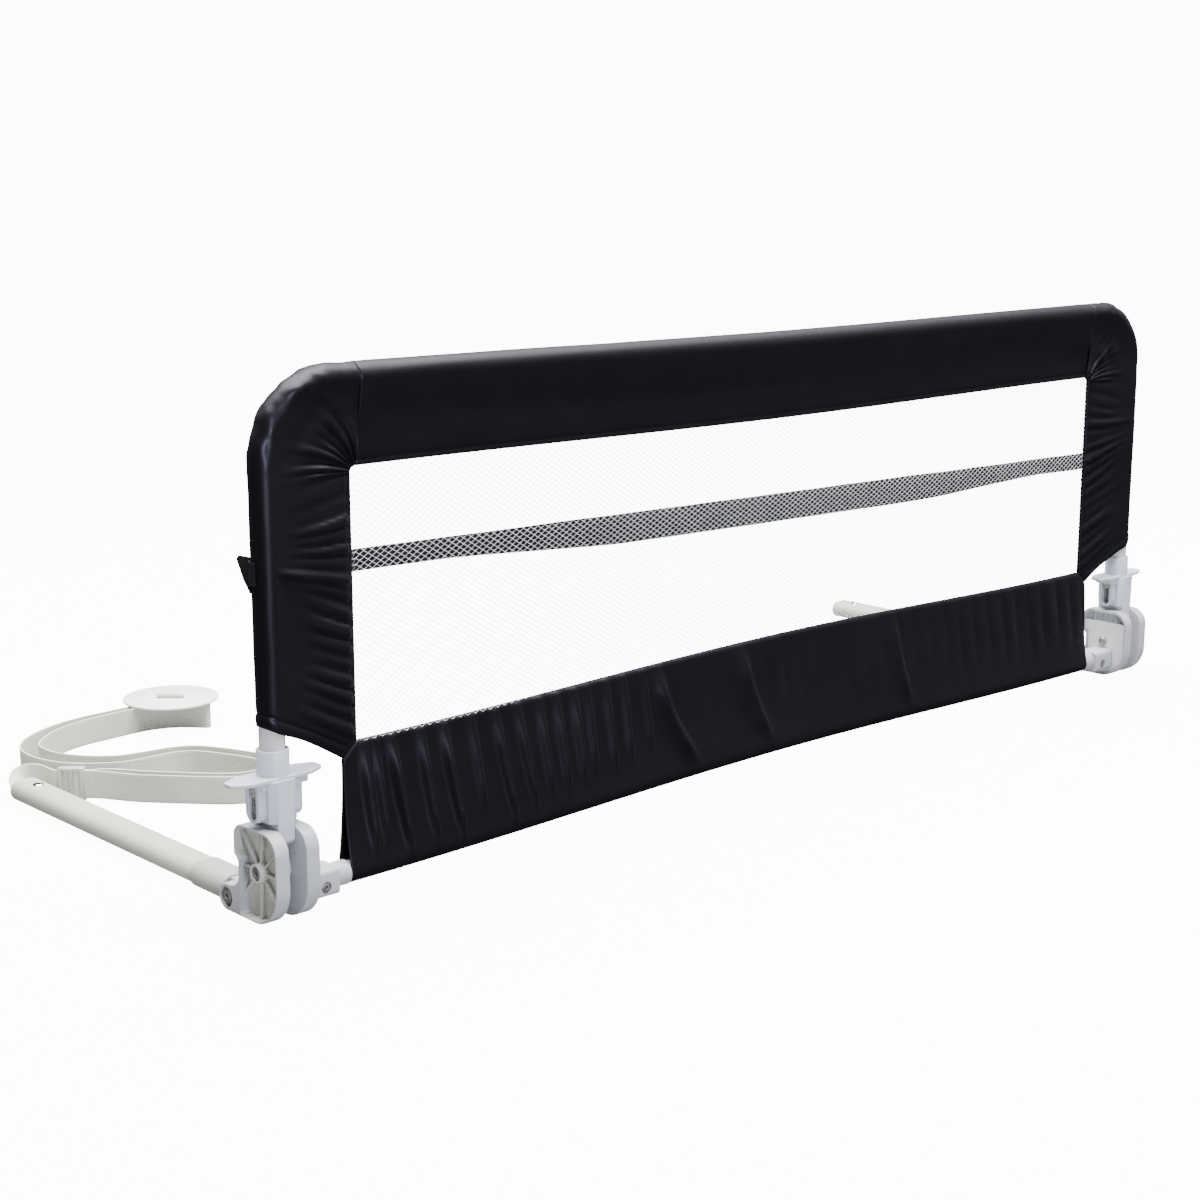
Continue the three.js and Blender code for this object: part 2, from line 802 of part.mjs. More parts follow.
function outerPlate() {
  const body = alongX(plateOutline(0), gapHalf, plateOuter);
  const floor = gapHalf + plateWeb;
  const hollow = alongX(plateOutline(rimWall), floor, plateOuter + overrun);
  const ribTop = plateOuter - ribDrop;
  const bosses = [
    rodAlongX(pivotBoss, gapHalf, plateOuter - ribDrop / 2, 0, pivotHeight),
    rodAlongX(armPivotHeight, gapHalf, plateOuter, armPivotShift, armPivotHeight),
  ];
  const recess = without(hollow, ...hingeRibs(gapHalf, ribTop), ...bosses);
  const seatDepth = plateOuter - headHeight - ribDrop;
  const boltSeat = rodAlongX(
    headRadius + clearance,
    seatDepth,
    plateOuter + overrun,
    0,
    pivotHeight,
  );
  const washerSeat = rodAlongX(
    washerRadius + clearance,
    plateOuter - headHeight - washerThickness,
    plateOuter + overrun,
    armPivotShift,
    armPivotHeight,
  );
  return without(body, recess, pivotBore(), armBore(), boltSeat, washerSeat);
}

// The inner plate carries the flat cover and the socket for the bottom bar.
function innerPlate() {
  const body = alongX(plateOutline(0), -plateOuter, -gapHalf);
  const outline = plateOutline(rimWall);
  const seat = alongX(
    outline,
    -plateOuter - overrun,
    -plateOuter + coverInset + coverThickness + clearance,
  );
  const pocket = alongX(outline, -plateOuter - overrun, -gapHalf - plateWeb).intersect(
    block([-railLength, 0], [-plateTop, plateTop], [coverTop, 2 * plateTop]),
  );
  const nutSeat = rodAlongX(
    nutRadius + clearance,
    -plateOuter - overrun,
    -plateOuter + nutHeight + coverThickness + coverInset + clearance,
    armPivotShift,
    armPivotHeight,
  );
  const plate = without(body, seat, pocket, nutSeat);
  return without(joined(plate, barSocket()), ...barSocketCuts(), pivotBore(), armBore());
}

const barSocketEnd = uprightX - skirtHalf;

function barSocket() {
  const blockTop = barHeight + barRadius + clearance + barSocketWall;
  const halfHeight = (blockTop - barBlockFloor) / 2;
  const middle = (blockTop + barBlockFloor) / 2;
  const outline = roundedRectangle(barBlockHalfWidth, halfHeight, barBlockRound, 0, middle);
  const inside = -gapHalf - plateWeb / 2;
  const blockBody = alongX(outline, -plateOuter - barBlockLength, inside);
  const sleeveR = barRadius + clearance + barSocketWall;
  return joined(blockBody, rodAlongX(sleeveR, -barSocketEnd, inside, 0, barHeight, 20));
}

function barSocketCuts() {
  const bore = rodAlongX(
    barRadius + clearance,
    -barSocketEnd - overrun,
    -plateOuter + barSeat,
    0,
    barHeight,
    20,
  );
  const screwX = -plateOuter - barScrewAlong;
  const screwZ = barHeight - barScrewDrop;
  const head = rodAlongY(
    barScrewHead + clearance,
    -barBlockHalfWidth - overrun,
    -barRadius - barSocketWall,
    screwX,
    screwZ,
  );
  const shank = rodAlongY(
    barScrewRadius + clearance,
    -barBlockHalfWidth,
    0,
    screwX,
    screwZ,
  );
  return [bore, head, shank];
}

// The flat cover fills the inner plate's recess up to a straight top edge.
function innerCover() {
  const low = -plateOuter + coverInset;
  const outline = plateOutline(rimWall + clearance);
  const plate = alongX(outline, low, low + coverThickness);
  const above = block(
    [low - overrun, low + coverThickness + overrun],
    [-plateTop, plateTop],
    [coverTop, 2 * plateTop],
  );
  const socketRoom = block(
    [low - overrun, low + coverThickness + overrun],
    [-barBlockHalfWidth - clearance, barBlockHalfWidth + clearance],
    [
      barBlockFloor - clearance,
      barHeight + barRadius + 2 * clearance + barSocketWall,
    ],
  );
  const nutRoom = rodAlongX(
    nutRadius + 2 * clearance,
    low - overrun,
    low + coverThickness + overrun,
    armPivotShift,
    armPivotHeight,
  );
  return without(plate, above, socketRoom, nutRoom, pivotBore());
}

// Fasteners turned about the x axis, with a hexagon socket in the head

function turnedAlongX(profile, y, z, sides = 8) {
  const points = profile.map(([radius, x]) => new THREE.Vector2(radius, x));
  const lathe = new THREE.LatheGeometry(points, sides);
  return solidOf(lathe.rotateZ(-Math.PI / 2).translate(0, y, z));
}

const hexSocket = (low, high, y, z) => rodAlongX(socketRadius, low, high, y, z, 6);

function pivotBolt() {
  const seat = plateOuter - headHeight - ribDrop + clearance;
  const top = seat + headHeight;
  const end = -plateOuter + coverInset - clearance - nutHeight;
  const profile = [
    [0, end],
    [boltRadius, end],
    [boltRadius, seat],
    [headRadius, seat],
    [headRadius, top - headHeight / 4],
    [headRadius - headHeight / 4, top],
    [0, top],
  ];
  const socket = hexSocket(top - socketDepth, top + overrun, 0, pivotHeight);
  return without(turnedAlongX(profile, 0, pivotHeight), socket);
}

// A domed nut, seen on the flat cover.
function domedNut(face, height, y, z) {
  const bore = boltRadius + clearance;
  const profile = [
    [bore, face],
    [bore, face - height],
    [nutRadius * 0.8, face - height],
    [nutRadius, face - height * 0.4],
    [nutRadius, face],
    [bore, face],
  ];
  return turnedAlongX(profile, y, z);
}

function armBolt() {
  const seat = plateOuter - headHeight;
  const top = seat + headHeight;
  const end = -plateOuter + coverInset;
  const profile = [
    [0, end],
    [boltRadius, end],
    [boltRadius, seat + clearance],
    [headRadius, seat + clearance],
    [headRadius, top - headHeight / 4],
    [headRadius - headHeight / 4, top],
    [0, top],
  ];
  const socket = hexSocket(top - socketDepth, top + overrun, armPivotShift, armPivotHeight);
  return without(turnedAlongX(profile, armPivotShift, armPivotHeight), socket);
}

function armWasher() {
  const low = plateOuter - headHeight - washerThickness + clearance;
  const ring = rodAlongX(washerRadius, low, low + washerThickness - clearance / 2,
    armPivotShift, armPivotHeight);
  return without(ring, armBore());
}

function barScrew() {
  const tip = -barRadius + barWall + overrun / 2;
  const under = -barRadius - barSocketWall - clearance;
  const profile = [
    [0, under - barScrewHeight],
    [barScrewHead - barScrewHeight / 3, under - barScrewHeight],
    [barScrewHead, under - barScrewHeight / 2],
    [barScrewHead, under],
    [barScrewRadius, under],
    [barScrewRadius, tip],
    [0, tip],
  ].map(([radius, y]) => new THREE.Vector2(radius, y));
  const screw = new THREE.LatheGeometry(profile, 10);
  screw.translate(-plateOuter - barScrewAlong, 0, barHeight - barScrewDrop);
  const slot = rodAlongY(
    socketRadius,
    under - barScrewHeight - overrun,
    under - barScrewHeight + socketDepth / 2,
    -plateOuter - barScrewAlong,
    barHeight - barScrewDrop,
    6,
  );
  return without(solidOf(screw), slot);
}

// Foot of the upright: a plug in the tube and a flat-sided tongue with the pivot's eye

function tongue() {
  const plugRadius = tubeRadius - tubeWall - clearance;
  const plug = rodAlongZ(plugRadius, tongueTop - overrun, tongueTop + plugLength, tubeSides);
  const flats = block(
    [-tongueThickness / 2, tongueThickness / 2],
    [-tubeRadius - overrun, tubeRadius + overrun],
    [pivotHeight, tongueTop],
  );
  const shank = rodAlongZ(tubeRadius, pivotHeight, tongueTop, 16).intersect(flats);
  const eye = rodAlongX(tongueEye, -tongueThickness / 2, tongueThickness / 2, 0, pivotHeight, 16);
  const pinHole = rodAlongX(
    pinRadius + clearance,
    -tubeRadius - overrun,
    tubeRadius + overrun,
    0,
    pinHeight,
  );
  return without(joined(plug, shank, eye), pivotBore(), pinHole);
}

// Release sleeve: it is lifted by its wings against two springs to free the tongue

function releaseSleeve() {
  const barrel = rodAlongZ(sleeveRadius, sleeveShoulder, sleeveTop);
  const half = tongueThickness / 2;
  const lock = block([-half, half], [-lockReach, lockReach], [sleeveBottom, wingUnder + overrun / 2]);
  const solids = [barrel, lock, wing(), wingStep(), ...ears()];
  const bore = rodAlongZ(tubeRadius + clearance, sleeveBottom - overrun, sleeveTop + overrun);
  return without(joined(...solids), bore, slotCut());
}

function wing() {
  const shape = new THREE.Shape();
  const tip = wingSpan - wingTipHalfWidth / 2;
  const corners = [
    [wingStraight, -wingHalfWidth],
    [tip, -wingTipHalfWidth],
    [wingSpan, -wingTipHalfWidth / 2],
    [wingSpan, wingTipHalfWidth / 2],
    [tip, wingTipHalfWidth],
    [wingStraight, wingHalfWidth],
  ];
  const other = corners.map(([x, y]) => [-x, -y]);
  const all = [...corners, ...other];
  shape.moveTo(...all[0]);
  all.slice(1).forEach((corner) => shape.lineTo(...corner));
  return alongZ(shape, wingUnder, wingUnder + wingThickness);
}

const wingStep = () =>
  block(
    [-wingStepReach, wingStepReach],
    [-wingStepHalfWidth, wingStepHalfWidth],
    [wingUnder - wingStepDrop, wingUnder + wingThickness / 2],
  );

function earOutline(halfWidth, low, high) {
  const shape = new THREE.Shape();
  shape.moveTo(-halfWidth, low + halfWidth);
  shape.absarc(0, low + halfWidth, halfWidth, Math.PI, 2 * Math.PI);
  shape.lineTo(halfWidth, high);
  shape.lineTo(-halfWidth, high);
  return shape;
}

function ears() {
  const outline = earOutline(earHalfWidth, sleeveShoulder, wingUnder + wingThickness / 2);
  return [alongX(outline, -earReach, earReach, 0)];
}

const slotCut = () =>
  alongX(
    roundedRectangle(
      slotHalfWidth,
      (slotTop - slotFloor) / 2,
      slotHalfWidth - clearance,
      0,
      (slotTop + slotFloor) / 2,
    ),
    -wingSpan,
    wingSpan,
  );

// The guide pin goes through the tube and the plug, with a head in each slot.
function guidePin() {
  const face = earReach - overrun;
  const profile = [
    [0, -face],
    [pinHead - pinHeadHeight / 3, -face],
    [pinHead, -face + pinHeadHeight / 3],
    [pinHead, -face + pinHeadHeight],
    [pinRadius, -face + pinHeadHeight],
    [pinRadius, face - pinHeadHeight],
    [pinHead, face - pinHeadHeight],
    [pinHead, face - pinHeadHeight / 3],
    [pinHead - pinHeadHeight / 3, face],
    [0, face],
  ];
  return turnedAlongX(profile, 0, pinHeight);
}

// One unbroken wire in a helix, standing in the slot under the guide pin.
function returnSpring() {
  const steps = 8;
  const sides = 5;
  const low = slotFloor + clearance + springWire;
  const high = pinHeight - pinHead - clearance - springWire;
  const centreX = tubeRadius + springRadius + springWire + clearance;
  const rings = [];
  const total = springCurls * steps;
  for (let i = 0; i <= total; i++) {
    const turn = (2 * Math.PI * i) / steps;
    const rise = (high - low) / total;
    const out = new THREE.Vector3(Math.cos(turn), Math.sin(turn), 0);
    const at = new THREE.Vector3(centreX, 0, low + rise * i).addScaledVector(out, springRadius);
    rings.push(
      Array.from({ length: sides }, (_, k) => {
        const roll = (2 * Math.PI * k) / sides;
        const point = at.clone().addScaledVector(out, springWire * Math.cos(roll));
        point.z -= springWire * Math.sin(roll);
        return point;
      }),
    );
  }
  return solidOf(barThrough(rings));
}

function springGap() {
  const free = pinHeight - pinHead - slotFloor - 2 * (clearance + springWire);
  return free / springCurls - 2 * springWire;
}
console.log("least gap between spring curls, mm: " + springGap().toFixed(2));

// Support arms: an oval tube in a moulded socket whose neck turns between the plates

function ovalOutline(inset) {
  const halfHeight = armHalfHeight - inset;
  return roundedRectangle(armHalfWidth - inset, halfHeight, halfHeight * 0.98);
}

const swapToRear = new THREE.Matrix4().makeBasis(
  new THREE.Vector3(-1, 0, 0),
  new THREE.Vector3(0, 0, 1),
  new THREE.Vector3(0, 1, 0),
);

function alongY(shape, low, high, bevel = 0) {
  const body = extruded(shape, low, high, bevel).applyMatrix4(swapToRear);
  return solidOf(body.translate(0, 0, armPivotHeight));
}

const armSocketStart = armPivotShift + armNeck;

function armTube() {
  const start = armSocketStart + armSocketLength - armSocketDepth;
  const body = alongY(ovalOutline(0), start, armReach);
  const bore = alongY(ovalOutline(armWall), start - overrun, armReach + overrun);
  return without(body, bore, buttonHole());
}

function buttonHole() {
  const rod = new THREE.CylinderGeometry(
    buttonShank + clearance,
    buttonShank + clearance,
    armHalfHeight,
    12,
  );
  rod.rotateX(Math.PI / 2);
  return solidOf(
    rod.translate(0, armReach - buttonFromEnd, armPivotHeight + armHalfHeight),
  );
}

function armSocket() {
  const halfWall = clearance + armSocketWall;
  const end = armSocketStart + armSocketLength;
  const shell = alongY(ovalOutline(-halfWall), armSocketStart, end);
  const bore = alongY(ovalOutline(-clearance), end - armSocketDepth - clearance, end + overrun);
  const neck = block(
    [-tongueThickness / 2, tongueThickness / 2],
    [armPivotShift, armSocketStart + plateChamfer + overrun],
    [armPivotHeight - armEye, armPivotHeight + armEye],
  );
  const eye = rodAlongX(
    armEye,
    -tongueThickness / 2,
    tongueThickness / 2,
    armPivotShift,
    armPivotHeight,
  );
  return without(joined(shell, neck, eye), bore, armBore());
}

// A low domed rivet near the open end of the arm.
function armButton() {
  const top = armPivotHeight + armHalfHeight + clearance;
  const profile = [
    [0, -armHalfHeight / 2],
    [buttonShank, -armHalfHeight / 2],
    [buttonShank, 0],
    [buttonRadius, 0],
    [buttonRadius * 0.92, buttonHeight * 0.55],
    [buttonRadius * 0.55, buttonHeight * 0.92],
    [0, buttonHeight],
  ].map(([radius, z]) => new THREE.Vector2(radius, z));
  const button = new THREE.LatheGeometry(profile, 10).rotateX(Math.PI / 2);
  return solidOf(button.translate(0, armReach - buttonFromEnd, top));
}

// Webbing strap. Its route is a list of shares of the strap's reach from the arm's open end:
// across, back, half the room between its two layers, lift off the ground, and roll.

const strapLead = [
  [0, -0.08, 1, 1],
  [0, -0.02, 1, 1],
  [0.002, 0.024, 1, 0.72],
  [0.014, 0.052, 1, 0.38],
  [0.037, 0.06, 1, 0.12],
  [0.061, 0.043, 1, 0],
  [0.073, 0.01, 1, 0],
  [0.074, -0.035, 1, 0],
  [0.076, -0.068, 1, 0],
  [0.088, -0.0895, 1, 0],
];
const strapRoute = [
  [0.1185, -0.118, 0, 1],
  [0.142, -0.14, 0, 1],
  [0.165, -0.162, 0.03, 1],
  [0.2, -0.187, 0.26, 0.95],
  [0.245, -0.232, 0.42, 0.6],
  [0.292, -0.286, 0.45, 0.25],
  [0.348, -0.345, 0.44, 0.06],
  [0.438, -0.445, 0.42, 0],
  [0.515, -0.52, 0.44, 0],
  [0.59, -0.553, 0.48, 0],
  [0.665, -0.535, 0.52, 0],
  [0.712, -0.468, 0.56, 0],
  [0.715, -0.39, 0.6, 0],
  [0.69, -0.31, 0.64, 0],
  [0.65, -0.22, 0.66, 0],
  [0.6, -0.14, 0.68, 0],
  [0.53, -0.105, 0.72, 0],
  [0.44, -0.095, 0.8, 0],
  [0.345, -0.08, 0.92, 0],
  [0.278, -0.04, 1, 0],
  [0.222, 0.015, 1.05, 0],
  [0.181, 0.085, 1.02, 0],
  [0.16, 0.165, 0.92, 0],
  [0.162, 0.25, 0.8, 0],
  [0.192, 0.325, 0.7, 0],
  [0.252, 0.39, 0.64, 0],
  [0.33, 0.444, 0.56, 0],
  [0.425, 0.485, 0.48, 0],
  [0.53, 0.507, 0.42, 0],
  [0.64, 0.514, 0.37, 0],
  [0.73, 0.518, 0.33, 0],
  [0.81, 0.511, 0.3, 0],
  [0.907, 0.472, 0.3, 0],
  [0.987, 0.386, 0.26, 0],
];

// Smooth stations along a list of rows, each row a point in as many numbers as it has.
function smoothed(rows, steps) {
  const spans = rows.length - 1;
  const value = (position, column) => {
    const index = Math.min(spans - 1, Math.floor(position));
    const share = position - index;
    const pick = (i) => rows[Math.max(0, Math.min(spans, i))][column];
    const [a, b, c, d] = [pick(index - 1), pick(index), pick(index + 1), pick(index + 2)];
    const curve = (2 * a - 5 * b + 4 * c - d) * share + (3 * (b - c) + d - a) * share ** 2;
    return b + (share * (c - a + curve)) / 2;
  };
  return evenly(steps, 0, spans).map((position) => rows[0].map((_, k) => value(position, k)));
}

const onStrapGround = (across, back) =>
  new THREE.Vector2(-uprightX + across * strapReach, armReach + back * strapReach);

// The way a line of points runs at each of its points, in plan.
function headings(points) {
  return points.map((_, i) => {
    const before = points[Math.max(0, i - 1)];
    const after = points[Math.min(points.length - 1, i + 1)];
    return new THREE.Vector2().subVectors(after, before).normalize();
  });
}

// Places of the webbing's middle: the single lead, one layer out to the disc, and one back.
function strapPlaces() {
  const lead = smoothed(strapLead, 13).map(([across, back, lift, roll]) => ({
    at: onStrapGround(across, back),
    lift,
    roll,
  }));
  const rows = smoothed(strapRoute, 66);
  const middle = rows.map(([across, back]) => onStrapGround(across, back));
  const ways = headings(middle);
  const layer = (sign) =>
    rows.map(([, , spread, lift], i) => {
      const room = webThickness / 2 + clearance + spread * strapSpread;
      const left = new THREE.Vector2(-ways[i].y, ways[i].x);
      return { at: middle[i].clone().addScaledVector(left, sign * room), lift, roll: 0 };
    });
  const out = layer(-1);
  const back = layer(1).reverse();
  const end = middle[middle.length - 1];
  const way = ways[ways.length - 1];
  const spread = webThickness / 2 + clearance + rows[rows.length - 1][2] * strapSpread;
  const turned = evenly(4, -Math.PI / 2, Math.PI / 2).slice(1, -1);
  const fold = turned.map((turn) => {
    const left = new THREE.Vector2(-way.y, way.x).multiplyScalar(spread * Math.sin(turn));
    const at = end.clone().add(left).addScaledVector(way, strapFold * Math.cos(turn));
    return { at, lift: 0, roll: 0 };
  });
  return [...lead, ...out, ...fold, ...back.slice(0, -2)];
}

function strap() {
  const places = strapPlaces();
  const ways = headings(places.map(({ at }) => at));
  const rings = places.map(({ at, lift, roll }, i) => {
    const left = new THREE.Vector3(-ways[i].y, ways[i].x, 0);
    const turn = (roll * Math.PI) / 2;
    const wide = left.clone().multiplyScalar(Math.sin(turn));
    wide.z = Math.cos(turn);
    const thick = left.clone().multiplyScalar(Math.cos(turn));
    thick.z = -Math.sin(turn);
    const upright = mix(webWidth / 2, strapHigh, lift);
    const middle = new THREE.Vector3(at.x, at.y, mix(upright, armPivotHeight, roll));
    const corner = (a, b) =>
      middle
        .clone()
        .addScaledVector(wide, (a * webWidth) / 2)
        .addScaledVector(thick, (b * webThickness) / 2);
    return [corner(-1, -1), corner(-1, 1), corner(1, 1), corner(1, -1)];
  });
  const ribbon = solidOf(barThrough(rings));
  return joined(ribbon, bight());
}

// The webbing stands up through the disc's slot and turns over there.

const discShare = [0.909, 0.523];
const discHeight = webWidth + clearance;
const slotAngle = (-43 * Math.PI) / 180;

function bight() {
  const outerHalf = webThickness + bightGap / 2;
  const top = discHeight + discThickness + bightRise;
  const shape = new THREE.Shape();
  const foot = webWidth / 2;
  shape.moveTo(-outerHalf, foot);
  shape.lineTo(outerHalf, foot);
  shape.lineTo(outerHalf, top - outerHalf);
  shape.absarc(0, top - outerHalf, outerHalf, 0, Math.PI);
  const gap = new THREE.Shape();
  const gapFoot = foot + webThickness;
  gap.moveTo(-bightGap / 2, gapFoot);
  gap.lineTo(bightGap / 2, gapFoot);
  gap.lineTo(bightGap / 2, top - outerHalf);
  gap.absarc(0, top - outerHalf, bightGap / 2, 0, Math.PI);
  const half = webWidth / 2;
  const standing = (outline, reach) =>
    placeAtDisc(extruded(outline, -reach, reach).applyMatrix4(swapToX).translate(0, -slotShift, 0));
  return without(standing(shape, half), standing(gap, half + overrun));
}

function placeAtDisc(geometry) {
  const centre = onStrapGround(...discShare);
  return solidOf(geometry.rotateZ(slotAngle).translate(centre.x, centre.y, 0));
}

function anchorDisc() {
  const profile = [
    [0, 0],
    [discRadius - discRound, 0],
    [discRadius, discRound],
    [discRadius, discThickness - discRound],
    [discRadius - discRound, discThickness],
    [0, discThickness],
  ].map(([radius, z]) => new THREE.Vector2(radius, z));
  const disc = new THREE.LatheGeometry(profile, 28).rotateX(Math.PI / 2);
  const slot = roundedRectangle(slotLength / 2, slotWidth / 2, slotWidth / 4);
  const tool = extruded(slot, -overrun, discThickness + overrun);
  const lift = discHeight;
  return without(
    placeAtDisc(disc.translate(0, 0, lift)),
    placeAtDisc(tool.translate(0, -slotShift, lift)),
  );
}

// The slider is a flat frame round the webbing with two windows and a middle bar.
function strapSlider() {
  const rows = strapRoute;
  const start = onStrapGround(rows[0][0], rows[0][1]);
  const ahead = onStrapGround(rows[1][0], rows[1][1]);
  const turn = Math.atan2(ahead.y - start.y, ahead.x - start.x);
  const halfHeight = webWidth / 2 + clearance + sliderWall;
  const halfThick = sliderRoom + sliderSkin;
  const frame = new THREE.BoxGeometry(sliderLength, 2 * halfThick, 2 * halfHeight);
  const throatHeight = webWidth + 2 * clearance;
  const throat = new THREE.BoxGeometry(sliderLength + overrun, 2 * sliderRoom, throatHeight);
  const windowLength = (sliderLength - 3 * sliderBar) / 2;
  const windows = [-1, 1].map((sign) => {
    const tool = new THREE.BoxGeometry(windowLength, 2 * halfThick, webWidth);
    return tool.translate((sign * (windowLength + sliderBar)) / 2, -halfThick, 0);
  });
  const placed = (geometry) =>
    solidOf(geometry.rotateZ(turn).translate(start.x, start.y, halfHeight));
  return without(placed(frame), placed(throat), ...windows.map(placed));
}

// The assembly

const guardRail = new THREE.Group();
guardRail.name = "folding_bed_guard_rail";

function add(parent, name, solid, material) {
  const mesh = new THREE.Mesh(geometryOf(solid), material);
  mesh.name = name;
  parent.add(mesh);
  return mesh;
}

function addSide(name, side) {
  const group = new THREE.Group();
  group.position.x = side * uprightX;
  group.scale.x = side;
  guardRail.add(group);
  const put = (piece, solid, material) => add(group, name + "_" + piece, solid, material);
  const coverFace = -plateOuter + coverInset - clearance;
  const nutFace = -plateOuter + nutHeight + coverThickness + coverInset;
  put("outer_hinge_plate", outerPlate(), finishes.coolPlastic);
  put("inner_hinge_plate", innerPlate(), finishes.coolPlastic);
  put("inner_hinge_cover", innerCover(), finishes.coverPlastic);
  put("pivot_bolt", pivotBolt(), finishes.steel);
  put("pivot_nut", domedNut(coverFace, nutHeight, 0, pivotHeight), finishes.steel);
  put("arm_bolt", armBolt(), finishes.steel);
  put("arm_washer", armWasher(), finishes.steel);
  put("arm_nut", domedNut(nutFace, nutHeight, armPivotShift, armPivotHeight), finishes.steel);
  put("bar_screw", barScrew(), finishes.steel);
  put("tongue", tongue(), finishes.coolPlastic);
  put("release_sleeve", releaseSleeve(), finishes.coolPlastic);
  put("guide_pin", guidePin(), finishes.steel);
  put("release_spring", returnSpring(), finishes.steel);
  put("arm_socket", armSocket(), finishes.warmPlastic);
  put("arm_tube", armTube(), finishes.paintedTube);
  put("arm_button", armButton(), finishes.steel);
}

addSide("left", -1);
addSide("right", 1);
add(guardRail, "left_corner_tube", cornerTube(-1), finishes.paintedTube);
add(guardRail, "right_corner_tube", cornerTube(1), finishes.paintedTube);
add(guardRail, "top_tube", topTube(), finishes.paintedTube);
add(guardRail, "bottom_bar", bottomBar(), finishes.paintedTube);
add(guardRail, "left_side_panel", sidePanel(-1), finishes.cloth);
add(guardRail, "right_side_panel", sidePanel(1), finishes.cloth);
add(guardRail, "top_panel", topPanel(), finishes.cloth);
add(guardRail, "upper_skirt", upperSkirt(), finishes.cloth);
add(guardRail, "skirt_hem", skirtHem(), finishes.cloth);
add(guardRail, "net_window", netWindow(), finishes.net);
add(guardRail, "reinforcing_band", reinforcingBand(), finishes.band);
add(guardRail, "band_tab", bandTab(), finishes.band);
add(guardRail, "strap", strap(), finishes.webbing);
add(guardRail, "strap_slider", strapSlider(), finishes.sliderPlastic);
add(guardRail, "anchor_disc", anchorDisc(), finishes.discPlastic);

// The origin is on the ground, under the middle of everything
const extent = new THREE.Box3().setFromObject(guardRail, true);
const middle = extent.getCenter(new THREE.Vector3());
guardRail.position.set(-middle.x, -middle.y, 0);

export default guardRail;
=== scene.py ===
import bpy
import math
from mathutils import Matrix, Vector, noise


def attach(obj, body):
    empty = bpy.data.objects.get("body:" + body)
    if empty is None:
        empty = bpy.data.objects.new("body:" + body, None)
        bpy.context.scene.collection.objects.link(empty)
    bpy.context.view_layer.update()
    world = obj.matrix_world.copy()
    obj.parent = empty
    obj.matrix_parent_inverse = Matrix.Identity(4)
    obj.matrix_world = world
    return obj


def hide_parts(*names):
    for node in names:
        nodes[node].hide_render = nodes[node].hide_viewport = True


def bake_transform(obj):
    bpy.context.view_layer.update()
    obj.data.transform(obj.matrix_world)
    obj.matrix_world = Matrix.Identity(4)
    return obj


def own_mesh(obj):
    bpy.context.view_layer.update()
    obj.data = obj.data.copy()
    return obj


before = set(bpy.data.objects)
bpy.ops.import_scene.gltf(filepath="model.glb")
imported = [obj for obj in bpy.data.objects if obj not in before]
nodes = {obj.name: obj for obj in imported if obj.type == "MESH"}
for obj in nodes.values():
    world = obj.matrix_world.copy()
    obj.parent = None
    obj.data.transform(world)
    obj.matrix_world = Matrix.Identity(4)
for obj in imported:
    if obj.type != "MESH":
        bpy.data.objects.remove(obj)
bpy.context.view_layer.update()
print("frame loaded:", len(nodes), "nodes")

# Sizes that several pieces share, in metres. Hinges, arms and corners are made in millimetres
# round the point on the floor under their upright, and then set on both sides.
rail = {
    "plane": -0.264349,
    "uprightX": 0.5392,
    "tubeRadius": 0.0095,
    "ringRadius": 0.0108,
    "bendRadius": 0.055,
    "topAxis": 0.3882,
    "topSag": 0.0024,
    "windowHalf": 0.466,
    "windowTop": 0.324,
    "windowBottom": 0.120,
    "windowCorner": 0.005,
    "windowTopSag": 0.0033,
    "skirtHalf": 0.4786,
    "skirtCorner": 0.108,
    "hemHeight": 0.140,
    "barHeight": 0.0205,
    "barRadius": 0.008,
    "barBow": 0.0075,
    "pivotHeight": 0.0375,
    "armPivotY": 0.0385,
    "armPivotZ": 0.0103,
}


# Small tools

def deselectAll():
    if bpy.context.object and bpy.context.object.mode != "OBJECT":
        bpy.ops.object.mode_set(mode="OBJECT")
    bpy.ops.object.select_all(action="DESELECT")


def pick(*pieces):
    deselectAll()
    for piece in pieces:
        piece.select_set(True)
    bpy.context.view_layer.objects.active = pieces[0]
    return pieces[0]


def applyPlace(piece):
    pick(piece)
    bpy.ops.object.transform_apply(location=True, rotation=True, scale=True)
    return piece


def applyModifiers(piece):
    pick(piece)
    for name in [m.name for m in piece.modifiers]:
        bpy.ops.object.modifier_apply(modifier=name)
    return piece


def addModifier(piece, kind, **values):
    modifier = piece.modifiers.new(kind.title(), kind)
    for key, value in values.items():
        setattr(modifier, key, value)
    return modifier


def joinPieces(name, pieces):
    pick(*pieces)
    if len(pieces) > 1:
        bpy.ops.object.join()
    piece = bpy.context.object
    piece.name = name
    piece.data.name = name
    return piece


def smoothEdges(piece, degrees=35):
    pick(piece)
    bpy.ops.object.shade_smooth_by_angle(angle=math.radians(degrees))
    return piece


def faceOutwards(piece, mergeWithin=0.0):
    pick(piece)
    bpy.ops.object.mode_set(mode="EDIT")
    bpy.ops.mesh.select_all(action="SELECT")
    if mergeWithin:
        bpy.ops.mesh.remove_doubles(threshold=mergeWithin)
    bpy.ops.mesh.normals_make_consistent(inside=False)
    bpy.ops.object.mode_set(mode="OBJECT")
    return piece


def mergeDoubles(piece):
    return faceOutwards(piece, 1e-6)


def linkNew(name, data):
    item = bpy.data.objects.new(name, data)
    bpy.context.collection.objects.link(item)
    return item


def mm(*values):
    return tuple(v / 1000 for v in values)


def arcPoints(centre, radius, start, end, steps):
    return [
        (
            centre[0] + radius * math.cos(math.radians(start + (end - start) * i / steps)),
            centre[1] + radius * math.sin(math.radians(start + (end - start) * i / steps)),
        )
        for i in range(steps + 1)
    ]


